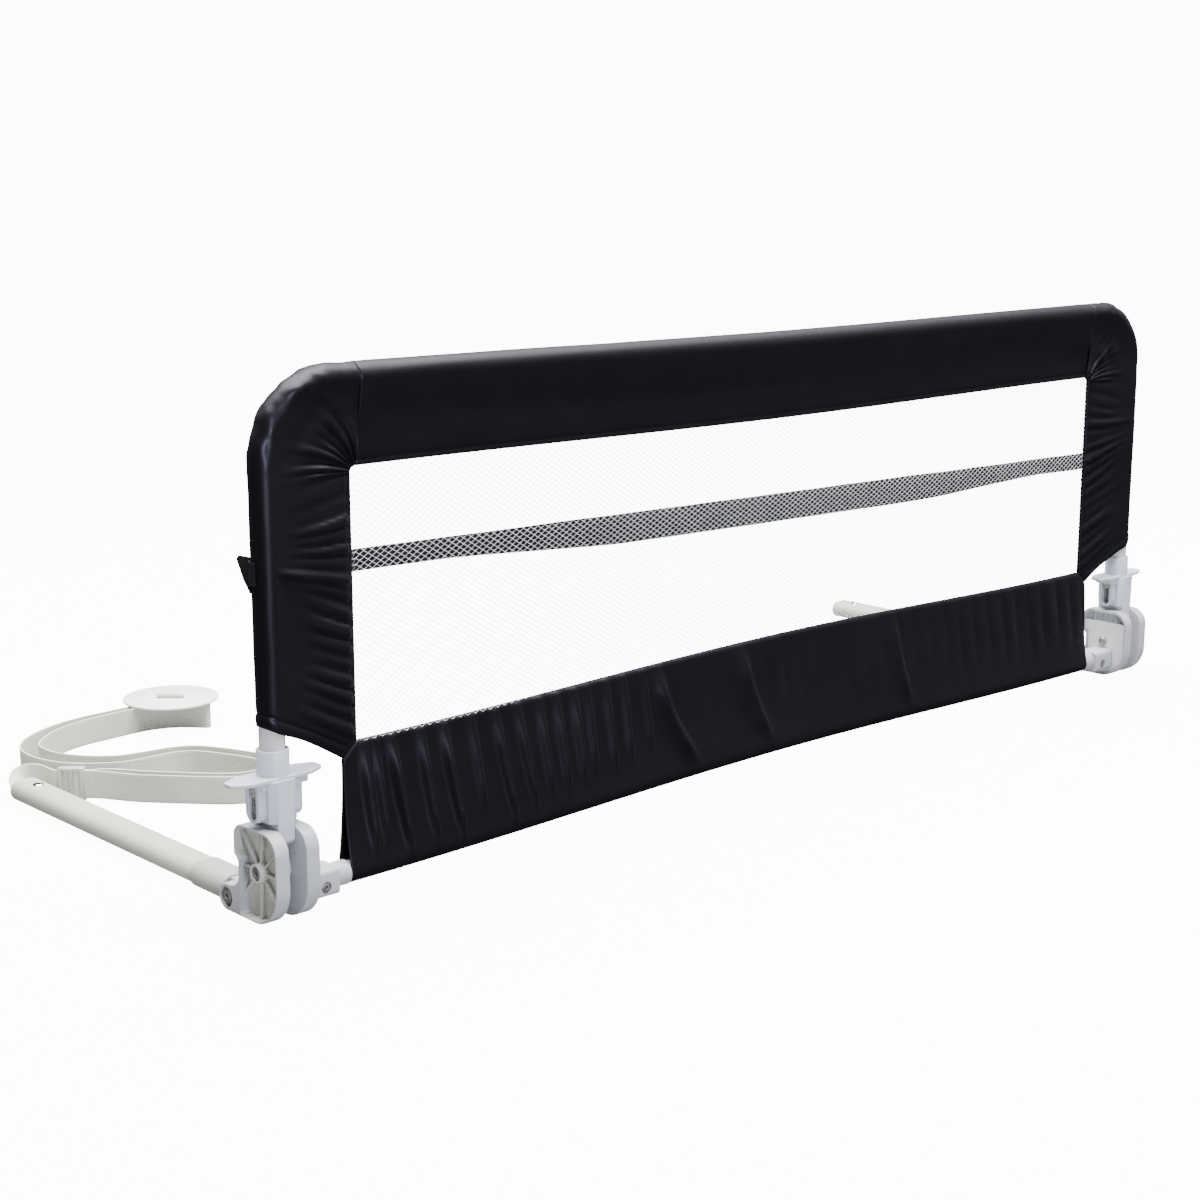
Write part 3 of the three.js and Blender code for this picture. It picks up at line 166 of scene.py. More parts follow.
def circlePoints(centre, radius, steps=48):
    return arcPoints(centre, radius, 0, 360, steps)[:-1]


def polyLine(curve, points, closed):
    spline = curve.splines.new("POLY")
    spline.points.add(len(points) - 1)
    for point, place in zip(spline.points, points):
        point.co = (*mm(*place), 1)
    spline.use_cyclic_u = closed


def meshOfCurve(name, curve):
    pick(linkNew(name, curve))
    bpy.ops.object.convert(target="MESH")
    return bpy.context.object


# A flat outline with holes, drawn in millimetres, given a depth and soft edges.
def outlinePiece(name, outlines, low, high, bevel=0.5, along="x", segments=2):
    curve = bpy.data.curves.new(name, "CURVE")
    curve.dimensions = "2D"
    curve.fill_mode = "BOTH"
    curve.extrude = (high - low) / 2000 - bevel / 1000
    curve.bevel_depth = bevel / 1000
    curve.bevel_resolution = segments
    curve.offset = -bevel / 1000
    for outline in outlines:
        polyLine(curve, [(a, b, 0) for a, b in outline], True)
    piece = meshOfCurve(name, curve)
    middle = (low + high) / 2000
    if along == "x":  # the outline's two numbers are y and z
        turned = Matrix(((0, 0, 1, middle), (1, 0, 0, 0), (0, 1, 0, 0), (0, 0, 0, 1)))
    elif along == "y":  # x and z
        turned = Matrix(((1, 0, 0, 0), (0, 0, -1, middle), (0, 1, 0, 0), (0, 0, 0, 1)))
    else:  # x and y
        turned = Matrix.Translation((0, 0, middle))
    piece.matrix_world = turned
    applyPlace(piece)
    return smoothEdges(mergeDoubles(piece))


# A sharp-edged outline to cut with
def cutter(outlines, low, high, along="x"):
    return outlinePiece("cutter", outlines, low, high, 0.01, along)


# A profile of radius and height in millimetres, turned round its axis.
def turnedPiece(name, profile, centre, along="x", steps=48, degrees=40):
    mesh = bpy.data.meshes.new(name)
    points = [(r / 1000, 0, h / 1000) for r, h in profile]
    mesh.from_pydata(points, [(i, i + 1) for i in range(len(points) - 1)], [])
    piece = linkNew(name, mesh)
    addModifier(
        piece, "SCREW", angle=math.tau, steps=steps, render_steps=steps, axis="Z",
        use_merge_vertices=True, merge_threshold=1e-6,
    )
    applyModifiers(piece)
    if along == "x":
        piece.rotation_euler = (0, math.pi / 2, 0)
    elif along == "y":
        piece.rotation_euler = (-math.pi / 2, 0, 0)
    piece.location = mm(*centre)
    applyPlace(piece)
    return smoothEdges(mergeDoubles(piece), degrees)


def boxPiece(name, lows, highs, bevel=0.0, segments=2):
    middle = [(a + b) / 2000 for a, b in zip(lows, highs)]
    deselectAll()
    bpy.ops.mesh.primitive_cube_add(size=1, location=middle)
    piece = bpy.context.object
    piece.name = name
    piece.scale = [(b - a) / 1000 for a, b in zip(lows, highs)]
    applyPlace(piece)
    if bevel:
        addModifier(piece, "BEVEL", width=bevel / 1000, segments=segments, limit_method="NONE")
        applyModifiers(piece)
    return smoothEdges(piece)


def carve(piece, operation, tools):
    for tool in tools:
        addModifier(piece, "BOOLEAN", object=tool, operation=operation, solver="EXACT")
        applyModifiers(piece)
        bpy.data.objects.remove(tool)
    return smoothEdges(piece)


def cutAway(piece, *tools):
    return carve(piece, "DIFFERENCE", tools)


def keepInside(piece, tool):
    return carve(piece, "INTERSECT", [tool])


def rodPiece(name, radius, ends, centre, along="x", bevel=0.0):
    low, high = ends
    profile = [(0, low), (radius - bevel, low), (radius - bevel, high), (0, high)]
    if bevel:
        profile[2:2] = [(radius, low + bevel), (radius, high - bevel)]
    return turnedPiece(name, profile, centre, along)


# A round wire or tube through a list of points in millimetres.
def wirePiece(name, points, radius, sides=4, closed=False):
    curve = bpy.data.curves.new(name, "CURVE")
    curve.dimensions = "3D"
    curve.bevel_depth = radius / 1000
    curve.bevel_resolution = sides
    curve.use_fill_caps = not closed
    polyLine(curve, points, closed)
    return smoothEdges(mergeDoubles(meshOfCurve(name, curve)), 50)


# Rows of points in metres become one sheet, with its own run in metres as the UV map.
def clothPiece(name, rows, closed=False, capped=False):
    mesh = bpy.data.meshes.new(name)
    count = len(rows[0])
    points = [point for row in rows for point in row]
    faces = []
    for i in range(len(rows) - 1):
        for j in range(count - (0 if closed else 1)):
            k = (j + 1) % count
            faces.append((i * count + j, i * count + k, (i + 1) * count + k, (i + 1) * count + j))
    if capped:
        faces.append(list(range(count)))
        faces.append(list(range((len(rows) - 1) * count, len(rows) * count))[::-1])
    mesh.from_pydata([tuple(p) for p in points], [], faces)
    alongRow = [0.0]
    middle = rows[len(rows) // 2]
    for j in range(1, count + 1):
        step = (Vector(middle[j % count]) - Vector(middle[j - 1])).length
        alongRow.append(alongRow[-1] + step)
    acrossRows = [0.0]
    for i in range(1, len(rows)):
        step = (Vector(rows[i][count // 2]) - Vector(rows[i - 1][count // 2])).length
        acrossRows.append(acrossRows[-1] + step)
    uv = mesh.uv_layers.new(name="run")
    for face in mesh.polygons:
        wrapped = closed and {v % count for v in face.vertices} == {0, count - 1}
        for loop in face.loop_indices:
            v = mesh.loops[loop].vertex_index
            j = v % count
            if wrapped and j == 0:
                j = count
            uv.data[loop].uv = (alongRow[j], acrossRows[v // count])
    piece = pick(linkNew(name, mesh))
    bpy.ops.object.shade_smooth()
    return piece


# The run of a sheet that stands upright, turned about the vertical, as its UV map.
def uprightRun(piece, turn=0.0):
    uv = piece.data.uv_layers.new(name="run")
    for loop in piece.data.loops:
        place = piece.data.vertices[loop.vertex_index].co
        uv.data[loop.index].uv = (place.x * math.cos(turn) + place.y * math.sin(turn), place.z)
    return piece


def finishPiece(piece, body, slotName, material, *replaced):
    faceKinds = [face.material_index for face in piece.data.polygons]
    piece.data.materials.clear()
    for item in material if isinstance(material, list) else [material]:
        piece.data.materials.append(item)
    for face, kind in zip(piece.data.polygons, faceKinds):
        face.material_index = kind
    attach(piece, body)
    if replaced:
        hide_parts(*replaced)
    return piece


# A hinge piece made for the right side is set there, and mirrored to the left.
def onBothSides(piece, title, body, slotName, material, *nodeNames, sides=("right", "left")):
    made = []
    for side in sides:
        pick(piece)
        bpy.ops.object.duplicate()
        copy = bpy.context.object
        copy.name = side + title
        copy.data.name = side + title
        copy.location = (rail["uprightX"], rail["plane"], 0)
        applyPlace(copy)
        if side == "left":
            copy.scale = (-1, 1, 1)
            applyPlace(copy)
            faceOutwards(copy)
        names = [side + "_" + n for n in nodeNames]
        bodyName = body if body in ("base", "rail") else side + "_" + body
        finishPiece(copy, bodyName, slotName, material, *names)
        made.append(copy)
    bpy.data.objects.remove(piece)
    return made


# Shader groups that several materials share

def newGroup(name, inputs, outputs):
    group = bpy.data.node_groups.new(name, "ShaderNodeTree")
    for title, kind, value in inputs:
        socket = group.interface.new_socket(title, in_out="INPUT", socket_type=kind)
        if value is not None:
            socket.default_value = value
    for title, kind in outputs:
        group.interface.new_socket(title, in_out="OUTPUT", socket_type=kind)
    return group, group.nodes.new("NodeGroupInput"), group.nodes.new("NodeGroupOutput")


def mathNode(tree, operation, a, b=None, clamp=False):
    node = tree.nodes.new("ShaderNodeMath")
    node.operation = operation
    node.use_clamp = clamp
    for index, value in enumerate((a, b)):
        if value is None:
            continue
        if isinstance(value, (int, float)):
            node.inputs[index].default_value = value
        else:
            tree.links.new(value, node.inputs[index])
    return node.outputs[0]


# Threads over and under each other, from a run in metres. Puts out a height and a tint mask.
def makeWeaveGroup():
    group, start, end = newGroup(
        "weave",
        [
            ("Run", "NodeSocketVector", None),
            ("Threads per metre", "NodeSocketFloat", 2000.0),
            ("Rib share", "NodeSocketFloat", 0.5),
        ],
        [("Height", "NodeSocketFloat"), ("Tint", "NodeSocketFloat")],
    )
    link = group.links.new
    split = group.nodes.new("ShaderNodeSeparateXYZ")
    link(start.outputs["Run"], split.inputs[0])
    turns = mathNode(group, "MULTIPLY", start.outputs["Threads per metre"], math.tau)
    waveX = mathNode(group, "SINE", mathNode(group, "MULTIPLY", split.outputs[0], turns))
    waveY = mathNode(group, "SINE", mathNode(group, "MULTIPLY", split.outputs[1], turns))
    absX = mathNode(group, "ABSOLUTE", waveX)
    absY = mathNode(group, "ABSOLUTE", waveY)
    crossed = mathNode(group, "MULTIPLY", waveX, waveY)
    plain = mathNode(group, "ADD", mathNode(group, "MULTIPLY", crossed, 0.5), 0.5)
    ribs = mathNode(group, "POWER", mathNode(group, "MULTIPLY", absX, absY), 0.6)
    blend = group.nodes.new("ShaderNodeMix")
    link(start.outputs["Rib share"], blend.inputs[0])
    link(plain, blend.inputs[2])
    link(ribs, blend.inputs[3])
    link(blend.outputs[0], end.inputs["Height"])
    cloud = group.nodes.new("ShaderNodeTexNoise")
    cloud.inputs["Scale"].default_value = 18
    cloud.inputs["Detail"].default_value = 4
    link(start.outputs["Run"], cloud.inputs["Vector"])
    link(cloud.outputs[0], end.inputs["Tint"])
    return group


# Fine uneven grain and slow cloudiness of moulded plastic and paint, on object coordinates.
def makeGrainGroup():
    group, start, end = newGroup(
        "grain",
        [("Grain per metre", "NodeSocketFloat", 900.0), ("Cloud per metre", "NodeSocketFloat", 30.0)],
        [("Height", "NodeSocketFloat"), ("Cloud", "NodeSocketFloat")],
    )
    link = group.links.new
    place = group.nodes.new("ShaderNodeTexCoord")
    fine = group.nodes.new("ShaderNodeTexNoise")
    fine.inputs["Detail"].default_value = 3
    link(place.outputs["Object"], fine.inputs["Vector"])
    link(start.outputs["Grain per metre"], fine.inputs["Scale"])
    slow = group.nodes.new("ShaderNodeTexNoise")
    slow.inputs["Detail"].default_value = 5
    slow.inputs["Roughness"].default_value = 0.6
    link(place.outputs["Object"], slow.inputs["Vector"])
    link(start.outputs["Cloud per metre"], slow.inputs["Scale"])
    link(fine.outputs[0], end.inputs["Height"])
    link(slow.outputs[0], end.inputs["Cloud"])
    return group


weaveGroup = makeWeaveGroup()
grainGroup = makeGrainGroup()


def newMaterial(name):
    material = bpy.data.materials.new(name + "Look")
    material.use_nodes = True
    tree = material.node_tree
    return material, tree, tree.nodes["Principled BSDF"]


def twoTone(tree, share, dark, light):
    ramp = tree.nodes.new("ShaderNodeValToRGB")
    ramp.color_ramp.elements[0].position = 0.3
    ramp.color_ramp.elements[1].position = 0.7
    ramp.color_ramp.elements[0].color = (*dark, 1)
    ramp.color_ramp.elements[1].color = (*light, 1)
    tree.links.new(share, ramp.inputs[0])
    return ramp.outputs[0]


def bumpOf(tree, height, strength, distance):
    bump = tree.nodes.new("ShaderNodeBump")
    bump.inputs["Strength"].default_value = strength
    bump.inputs["Distance"].default_value = distance
    tree.links.new(height, bump.inputs["Height"])
    return bump.outputs[0]


def plasticMaterial(name, look):
    material, tree, surface = newMaterial(name)
    grain = tree.nodes.new("ShaderNodeGroup")
    grain.node_tree = grainGroup
    grain.inputs["Grain per metre"].default_value = look["grain"]
    grain.inputs["Cloud per metre"].default_value = look["cloud"]
    colour = twoTone(tree, grain.outputs["Cloud"], look["dark"], look["light"])
    tree.links.new(colour, surface.inputs["Base Color"])
    rough = mathNode(tree, "MULTIPLY", grain.outputs["Cloud"], 0.16)
    rough = mathNode(tree, "ADD", rough, look["rough"] - 0.08)
    tree.links.new(rough, surface.inputs["Roughness"])
    normal = bumpOf(tree, grain.outputs["Height"], look["bump"], 0.0002)
    tree.links.new(normal, surface.inputs["Normal"])
    surface.inputs["Metallic"].default_value = look.get("metal", 0)
    return material


def clothMaterial(name, look):
    material, tree, surface = newMaterial(name)
    run = tree.nodes.new("ShaderNodeUVMap")
    run.uv_map = "run"
    weave = tree.nodes.new("ShaderNodeGroup")
    weave.node_tree = weaveGroup
    weave.inputs["Threads per metre"].default_value = look["threads"]
    weave.inputs["Rib share"].default_value = look["ribs"]
    tree.links.new(run.outputs[0], weave.inputs["Run"])
    colour = twoTone(tree, weave.outputs["Tint"], look["dark"], look["light"])
    # The weave's low parts darken the base colour: painted shade between the threads, as strong as
    # threadShade
    threads = tree.nodes.new("ShaderNodeMix")
    threads.data_type = "RGBA"
    threads.blend_type = "MULTIPLY"
    threads.inputs[0].default_value = look["threadShade"]
    tree.links.new(colour, threads.inputs[6])
    shade = mathNode(tree, "ADD", mathNode(tree, "MULTIPLY", weave.outputs["Height"], 0.5), 0.5)
    tree.links.new(shade, threads.inputs[7])
    tree.links.new(threads.outputs[2], surface.inputs["Base Color"])
    facing = tree.nodes.new("ShaderNodeLayerWeight")  # satin dulls towards its edges
    dull = mathNode(tree, "MULTIPLY", facing.outputs["Facing"], look.get("edgeDull", 0.2))
    dull = mathNode(tree, "ADD", dull, look["rough"], clamp=True)
    tree.links.new(dull, surface.inputs["Roughness"])
    normal = bumpOf(tree, weave.outputs["Height"], look["bump"], 0.0003)
    tree.links.new(normal, surface.inputs["Normal"])
    surface.inputs["Specular IOR Level"].default_value = look.get("specular", 0.4)
    surface.inputs["Specular Tint"].default_value = (*look.get("specularTint", (1, 1, 1)), 1)
    return material


looks = {
    "hingePlastic": {
        "dark": (0.35, 0.357, 0.385), "light": (0.4, 0.407, 0.435),
        "rough": 0.42, "grain": 1400, "cloud": 22, "bump": 0.12,
    },
    "sleevePlastic": {
        "dark": (0.43, 0.442, 0.51), "light": (0.49, 0.502, 0.575),
        "rough": 0.4, "grain": 1400, "cloud": 22, "bump": 0.12,
    },
    # Painted shade: an olive-grey copy of the hinge plastic for the faces in the outer plate's recess
    "recessShadeTone": {
        "dark": (0.38, 0.395, 0.36), "light": (0.5, 0.515, 0.475),
        "rough": 0.5, "grain": 1200, "cloud": 26, "bump": 0.15,
    },
    "coverPlastic": {
        "dark": (0.55, 0.56, 0.57), "light": (0.6, 0.61, 0.62),
        "rough": 0.55, "grain": 1500, "cloud": 24, "bump": 0.2,
    },
    "armPlastic": {
        "dark": (0.33, 0.35, 0.325), "light": (0.38, 0.4, 0.375),
        "rough": 0.45, "grain": 1400, "cloud": 20, "bump": 0.12,
    },
    "armPaint": {
        "dark": (0.42, 0.42, 0.375), "light": (0.48, 0.48, 0.435),
        "rough": 0.34, "grain": 700, "cloud": 14, "bump": 0.05,
    },
    "tubePaint": {
        "dark": (0.47, 0.47, 0.467), "light": (0.53, 0.53, 0.527),
        "rough": 0.33, "grain": 700, "cloud": 14, "bump": 0.05,
    },
    "steel": {
        "dark": (0.2, 0.2, 0.18), "light": (0.33, 0.33, 0.3),
        "rough": 0.34, "grain": 2500, "cloud": 160, "bump": 0.15, "metal": 0.6,
    },
    "zincSteel": {
        "dark": (0.36, 0.36, 0.34), "light": (0.5, 0.5, 0.47),
        "rough": 0.32, "grain": 2500, "cloud": 160, "bump": 0.12, "metal": 0.3,
    },
    "brightRivet": {
        "dark": (0.66, 0.69, 0.75), "light": (0.74, 0.77, 0.83),
        "rough": 0.16, "grain": 1500, "cloud": 120, "bump": 0.03, "metal": 1,
    },
    "sliderPlastic": {
        "dark": (0.36, 0.36, 0.33), "light": (0.45, 0.45, 0.42),
        "rough": 0.4, "grain": 1200, "cloud": 60, "bump": 0.1,
    },
    "discPlastic": {
        "dark": (0.78, 0.78, 0.77), "light": (0.83, 0.83, 0.82),
        "rough": 0.36, "grain": 900, "cloud": 18, "bump": 0.06,
    },
}
plastics = {name: plasticMaterial(name, look) for name, look in looks.items()}

clothLooks = {
    "cloth": {
        "dark": (0.0028, 0.0026, 0.0036), "light": (0.0038, 0.0035, 0.0048),
        "threads": 900, "ribs": 0.1, "threadShade": 0.35, "rough": 0.35, "bump": 0.08,
        "specular": 0.28, "edgeDull": 0.55, "specularTint": (0.86, 0.82, 1.0),
    },
    "bandCloth": {
        "dark": (0.007, 0.0065, 0.0095), "light": (0.0095, 0.009, 0.0125),
        "threads": 500, "ribs": 0.8, "threadShade": 0.4, "rough": 0.7, "bump": 0.3,
        "specular": 0.2,
    },
    "netYarn": {
        "dark": (0.9, 0.91, 0.92), "light": (0.94, 0.94, 0.95),
        "threads": 900, "ribs": 0.5, "threadShade": 0.15, "rough": 0.6, "bump": 0.2,
    },
    "webbing": {
        "dark": (0.62, 0.62, 0.545), "light": (0.7, 0.7, 0.625),
        "threads": 260, "ribs": 1.0, "threadShade": 0.5, "rough": 0.75, "bump": 0.7,
    },
}
cloths = {name: clothMaterial(name, look) for name, look in clothLooks.items()}
print("materials made")


# Camera and light

studio = {"seen": 13.0, "fill": 0.12, "floorSeen": 12.0, "floorGrey": 0.25, "floorDrop": 0.0004}


def setCamera():
    settings = {
        "place": (-1.3167, -1.4394, 0.5317),
        "heading": -43.06,
        "pitch": 12.01,
        "lens": 60.567,
    }
    cameraData = bpy.data.cameras.new("camera")
    cameraData.lens = settings["lens"]
    cameraData.sensor_width = 36
    cameraData.clip_start = 0.05
    camera = linkNew("camera", cameraData)
    camera.location = settings["place"]
    camera.rotation_euler = (
        math.radians(90 - settings["pitch"]), 0, math.radians(settings["heading"]),
    )
    bpy.context.scene.camera = camera


def setLights():
    lamps = {
        "topLamp": {
            "place": (0.2, -0.1, 3.0), "size": (3.2, 3.2), "power": 860, "aim": (0, -0.1, 0.1),
            "tint": (1.0, 1.0, 0.98),
        },
        "frontLamp": {
            "place": (-1.3, -3.5, 0.72), "size": (0.6, 1.36), "power": 76, "aim": (-0.2, -0.2, 0.2),
            "tint": (0.93, 0.95, 1.12),
        },
    }
    for name, lamp in lamps.items():
        data = bpy.data.lights.new(name, "AREA")
        data.energy = lamp["power"]
        data.shape = "RECTANGLE"
        data.size, data.size_y = lamp["size"]
        data.color = lamp["tint"]
        light = linkNew(name, data)
        light.location = lamp["place"]
        way = Vector(lamp["aim"]) - Vector(lamp["place"])
        light.rotation_euler = way.to_track_quat("-Z", "Y").to_euler()
    world = bpy.data.worlds.new("studio")
    bpy.context.scene.world = world
    world.use_nodes = True
    tree = world.node_tree
    tree.nodes["Background"].inputs[0].default_value = (1, 1, 1, 1)
    rays = tree.nodes.new("ShaderNodeLightPath")
    seen = mathNode(tree, "MULTIPLY", rays.outputs["Is Camera Ray"], studio["seen"])
    strength = mathNode(tree, "ADD", seen, studio["fill"])
    tree.links.new(strength, tree.nodes["Background"].inputs[1])


def setFloor():
    deselectAll()
    bpy.ops.mesh.primitive_plane_add(size=24, location=(0, 0, -studio["floorDrop"]))
    floor = bpy.context.object
    floor.name = "studioFloor"
    floor.visible_glossy = False
    material, tree, surface = newMaterial("studioFloor")
    surface.inputs["Base Color"].default_value = (*[studio["floorGrey"]] * 3, 1)
    surface.inputs["Roughness"].default_value = 0.9
    surface.inputs["Emission Color"].default_value = (1, 1, 1, 1)
    rays = tree.nodes.new("ShaderNodeLightPath")
    bright = mathNode(tree, "MULTIPLY", rays.outputs["Is Camera Ray"], studio["floorSeen"])
    tree.links.new(bright, surface.inputs["Emission Strength"])
    floor.data.materials.append(material)


setCamera()
setLights()
setFloor()
print("camera, lights and floor set")


# Hinge plates

plate = {
    "front": 28.3, "rear": 26.5, "top": 71, "topRound": 16, "footRound": 30, "rearRound": 11,
    "waist": 21.5, "waistTop": 43, "waistStep": 4, "inside": 7.4, "outside": 19.0, "rim": 1.5,
    "web": 3, "soft": 0.8, "ribs": 8, "ribTurn": 2, "ribWidth": 1.3, "ribDrop": 5.0,
    "ribStart": 5.5, "ribRoot": 0.6, "armRoom": 7.9, "armSeat": 14.4, "lockHeight": 57.6,
    "lockRadius": 3.8, "lockTop": 70, "seatRim": 2.8, "seatDeep": 2.9, "pocketDeep": 5,
    "pocketLow": 58, "coverRim": 3.1, "coverDeep": 0.6, "coverThick": 2, "nutRoom": 5.2,
    "innerRibs": ((0, 70), (13, 68), (-13, 66)), "innerRibHalf": 0.8, "innerRibStart": -16,
    "innerRibEnd": -13,
}
# Faces of the outer plate in its recess. They take an olive-grey tone, painted shade that stands in for the
# shading in the recess.
recess = {
    "floorBand": 0.3, "facing": 0.5, "wallFrom": 3.5, "rimBand": 1.2, "wallShare": 0.8,
    "rimBoss": 9, "bossRoom": 11,
}
# The block that holds the bottom bar, and its screw in front
block = {
    "halfWidth": 12, "halfHeight": 10.55, "round": 4, "middle": (0, 19.75), "start": -47.5,
    "end": -8.5, "coverRoom": 0.3, "coverRound": 4.2, "screwX": -35, "screwZ": 17.0,
    "screwHole": 4.5, "screwPlane": 21.5, "bore": 8.3, "socket": 9.5, "socketStart": -60.4,
    "socketEnd": -20,
}
pivotZ = rail["pivotHeight"] * 1000
armY = rail["armPivotY"] * 1000
armZ = rail["armPivotZ"] * 1000
pivotPlace = (0, 0, pivotZ)
armBoltPlace = (0, armY, armZ)


# A corner of an outline, rounded between the points before and after it.
def softCorner(before, corner, after, steps=4):
    points = []
    for i in range(steps + 1):
        t = i / steps
        points.append(tuple(
            (1 - t) ** 2 * a + 2 * t * (1 - t) * b + t * t * c
            for a, b, c in zip(before, corner, after)
        ))
    return points


# The plate's outline, drawn in by an inset. The hollow one leaves out the arm's boss.
def plateOutline(inset=0.0, hollow=False):
    rear = plate["rear"] - inset
    waist = plate["waist"] - inset
    foot = plate["footRound"] - plate["front"]
    if hollow:
        outline = [(foot + (waist - foot) * i / 8, inset) for i in range(8)]
        outline += softCorner((waist - 1, inset), (waist + 1.2, inset), (waist + 1, inset + 2))
    else:
        boss = armZ - inset
        outline = [(foot + (armY - foot) * i / 8, inset) for i in range(8)]
        outline += arcPoints((armY, armZ), boss, -90, 90, 18)
        topZ = armZ + boss
        outline += softCorner((armY, topZ), (waist, topZ), (waist, topZ + 10.3), 10)[1:]
    low = (waist, plate["waistTop"] + inset)
    high = (rear, low[1] + plate["waistStep"])
    soft = 1.6
    outline += softCorner((waist, low[1] - soft), low, (waist + soft * 0.8, low[1] + soft * 0.58))
    outline += softCorner((rear - soft * 0.8, high[1] - soft * 0.58), high, (rear, high[1] + soft))
    for middle, radius, start, steps in (
        ((plate["rear"] - plate["rearRound"], plate["top"] - plate["rearRound"]),
         plate["rearRound"], 0, 14),
        ((plate["topRound"] - plate["front"], plate["top"] - plate["topRound"]),
         plate["topRound"], 90, 18),
        ((foot, plate["footRound"]), plate["footRound"], 180, 28),
    ):
        outline += arcPoints(middle, radius - inset, start, start + 90, steps)
    return outline[:-1]


# How far the outline lies from the pivot's axis, in the direction of a turn in degrees.
def wallDistance(outline, turn):
    a = math.radians(turn)
    way = (math.cos(a), math.sin(a))
    best = 100.0
    for i in range(len(outline)):
        p, q = outline[i - 1], outline[i]
        ex, ez = q[0] - p[0], q[1] - p[1]
        cross = way[0] * ez - way[1] * ex
        if abs(cross) < 1e-9:
            continue
        px, pz = p[0], p[1] - pivotZ
        t = (px * ez - pz * ex) / cross
        u = (px * way[1] - pz * way[0]) / cross
        if t > 0 and -1e-6 <= u <= 1 + 1e-6:
            best = min(best, t)
    return best


def ribPieces(outline, low, high):
    ribs = []
    for k in range(plate["ribs"]):
        turn = plate["ribTurn"] + 360 * k / plate["ribs"]
        reach = wallDistance(outline, turn) + plate["ribRoot"]
        half = plate["ribWidth"] / 2
        rib = boxPiece("rib", (low, plate["ribStart"], -half), (high, reach, half), 0.35)
        rib.rotation_euler = (math.radians(turn), 0, 0)
        rib.location = mm(0, 0, pivotZ)
        ribs.append(applyPlace(rib))
    return ribs


def outerPlate():
    inside, outside = plate["inside"], plate["outside"]
    hollow = plateOutline(plate["rim"], True)
    body = outlinePiece("rim", [plateOutline()], inside, outside, plate["soft"], segments=3)
    hollowed = cutter([hollow], inside + plate["web"], outside + 4)
    armRoom = rodPiece("armRoom", plate["armRoom"], (plate["armSeat"], outside + 4), armBoltPlace)
    cutAway(body, hollowed, armRoom)
    deep = inside + 1
    pivotBoss = [
        (0, 15.4), (5.4, 15.4), (5.4, 18.1), (5.7, 18.4), (6.7, 18.4), (7.1, 18.0), (7.6, deep),
        (0, deep),
    ]
    half, top = plate["lockRadius"], plate["lockTop"]
    lockBoss = arcPoints((0, plate["lockHeight"]), half, 180, 360, 16) + [(half, top), (-half, top)]
    pieces = [body]
    pieces += ribPieces(hollow, inside + plate["web"] - 0.5, outside - plate["ribDrop"])
    pieces.append(turnedPiece("pivotBoss", pivotBoss, pivotPlace))
    pieces.append(outlinePiece("lockBoss", [lockBoss], deep, outside - 5, 0.6))
    piece = joinPieces("outerPlate", pieces)
    for face in piece.data.polygons:
        x, y, z = [v * 1000 for v in face.center]
        fromBoss = math.hypot(y - armY, z - armZ)
        overFloor = x > inside + plate["web"] - recess["floorBand"]
        onFloor = overFloor and abs(face.normal.x) > recess["facing"]
        inRecess = onFloor or x > inside + recess["wallFrom"]
        onRim = x > outside - recess["rimBand"] and fromBoss > recess["rimBoss"]
        nearWall = wallDistance(plateOutline(), math.degrees(math.atan2(z - pivotZ, y)))
        reach = nearWall - plate["rim"] * recess["wallShare"]
        deepEnough = math.hypot(y, z - pivotZ) < reach and fromBoss > recess["bossRoom"]
        # Recess faces take the second material, the painted shade tone
        face.material_index = int(inRecess and deepEnough and not onRim)
    return piece


def innerPlate():
    inside, outside = -plate["outside"], -plate["inside"]
    body = outlinePiece("rim", [plateOutline()], inside, outside, plate["soft"], segments=3)
    hollow = plateOutline(plate["seatRim"])
    seat = cutter([hollow], inside - 4, inside + plate["seatDeep"])
    pocket = cutter([hollow], inside - 4, inside + plate["pocketDeep"])
    keepInside(pocket, boxPiece("above", (-60, -60, plate["pocketLow"]), (0, 60, 120)))
    cutAway(body, seat, pocket)
    holder = outlinePiece(
        "holder", [blockOutline(0, block["round"])], block["start"], block["end"], 0.9, segments=3
    )
    screwPlace = (block["screwX"], 0, block["screwZ"])
    cutAway(holder, rodPiece("screwHole", block["screwHole"], (-16, -9.6), screwPlace, "y"))
    bore, outer, start, end = block["bore"], block["socket"], block["socketStart"], block["socketEnd"]
    profile = [(bore, start), (outer - 0.4, start), (outer, start + 0.4), (outer, end), (bore, end)]
    profile.append(profile[0])
    barSocket = turnedPiece("barSocket", profile, (0, 0, rail["barHeight"] * 1000))
    ribs = []
    for y, high in plate["innerRibs"]:
        low = (plate["innerRibStart"], y - plate["innerRibHalf"], plate["pocketLow"])
        ribs.append(boxPiece("rib", low, (plate["innerRibEnd"], y + plate["innerRibHalf"], high), 0.3))
    return joinPieces("innerPlate", [body, holder, barSocket, *ribs])


def roundedOutline(halfWidth, halfHeight, radius, centre=(0, 0), steps=8):
    corners = ((1, -1, -90), (1, 1, 0), (-1, 1, 90), (-1, -1, 180))
    outline = []
    for signX, signY, start in corners:
        middle = (
            centre[0] + signX * (halfWidth - radius),
            centre[1] + signY * (halfHeight - radius),
        )
        outline += arcPoints(middle, radius, start, start + 90, steps)
    return outline


def blockOutline(room, rounding):
    width, height = block["halfWidth"] + room, block["halfHeight"] + room
    return roundedOutline(width, height, rounding, block["middle"])


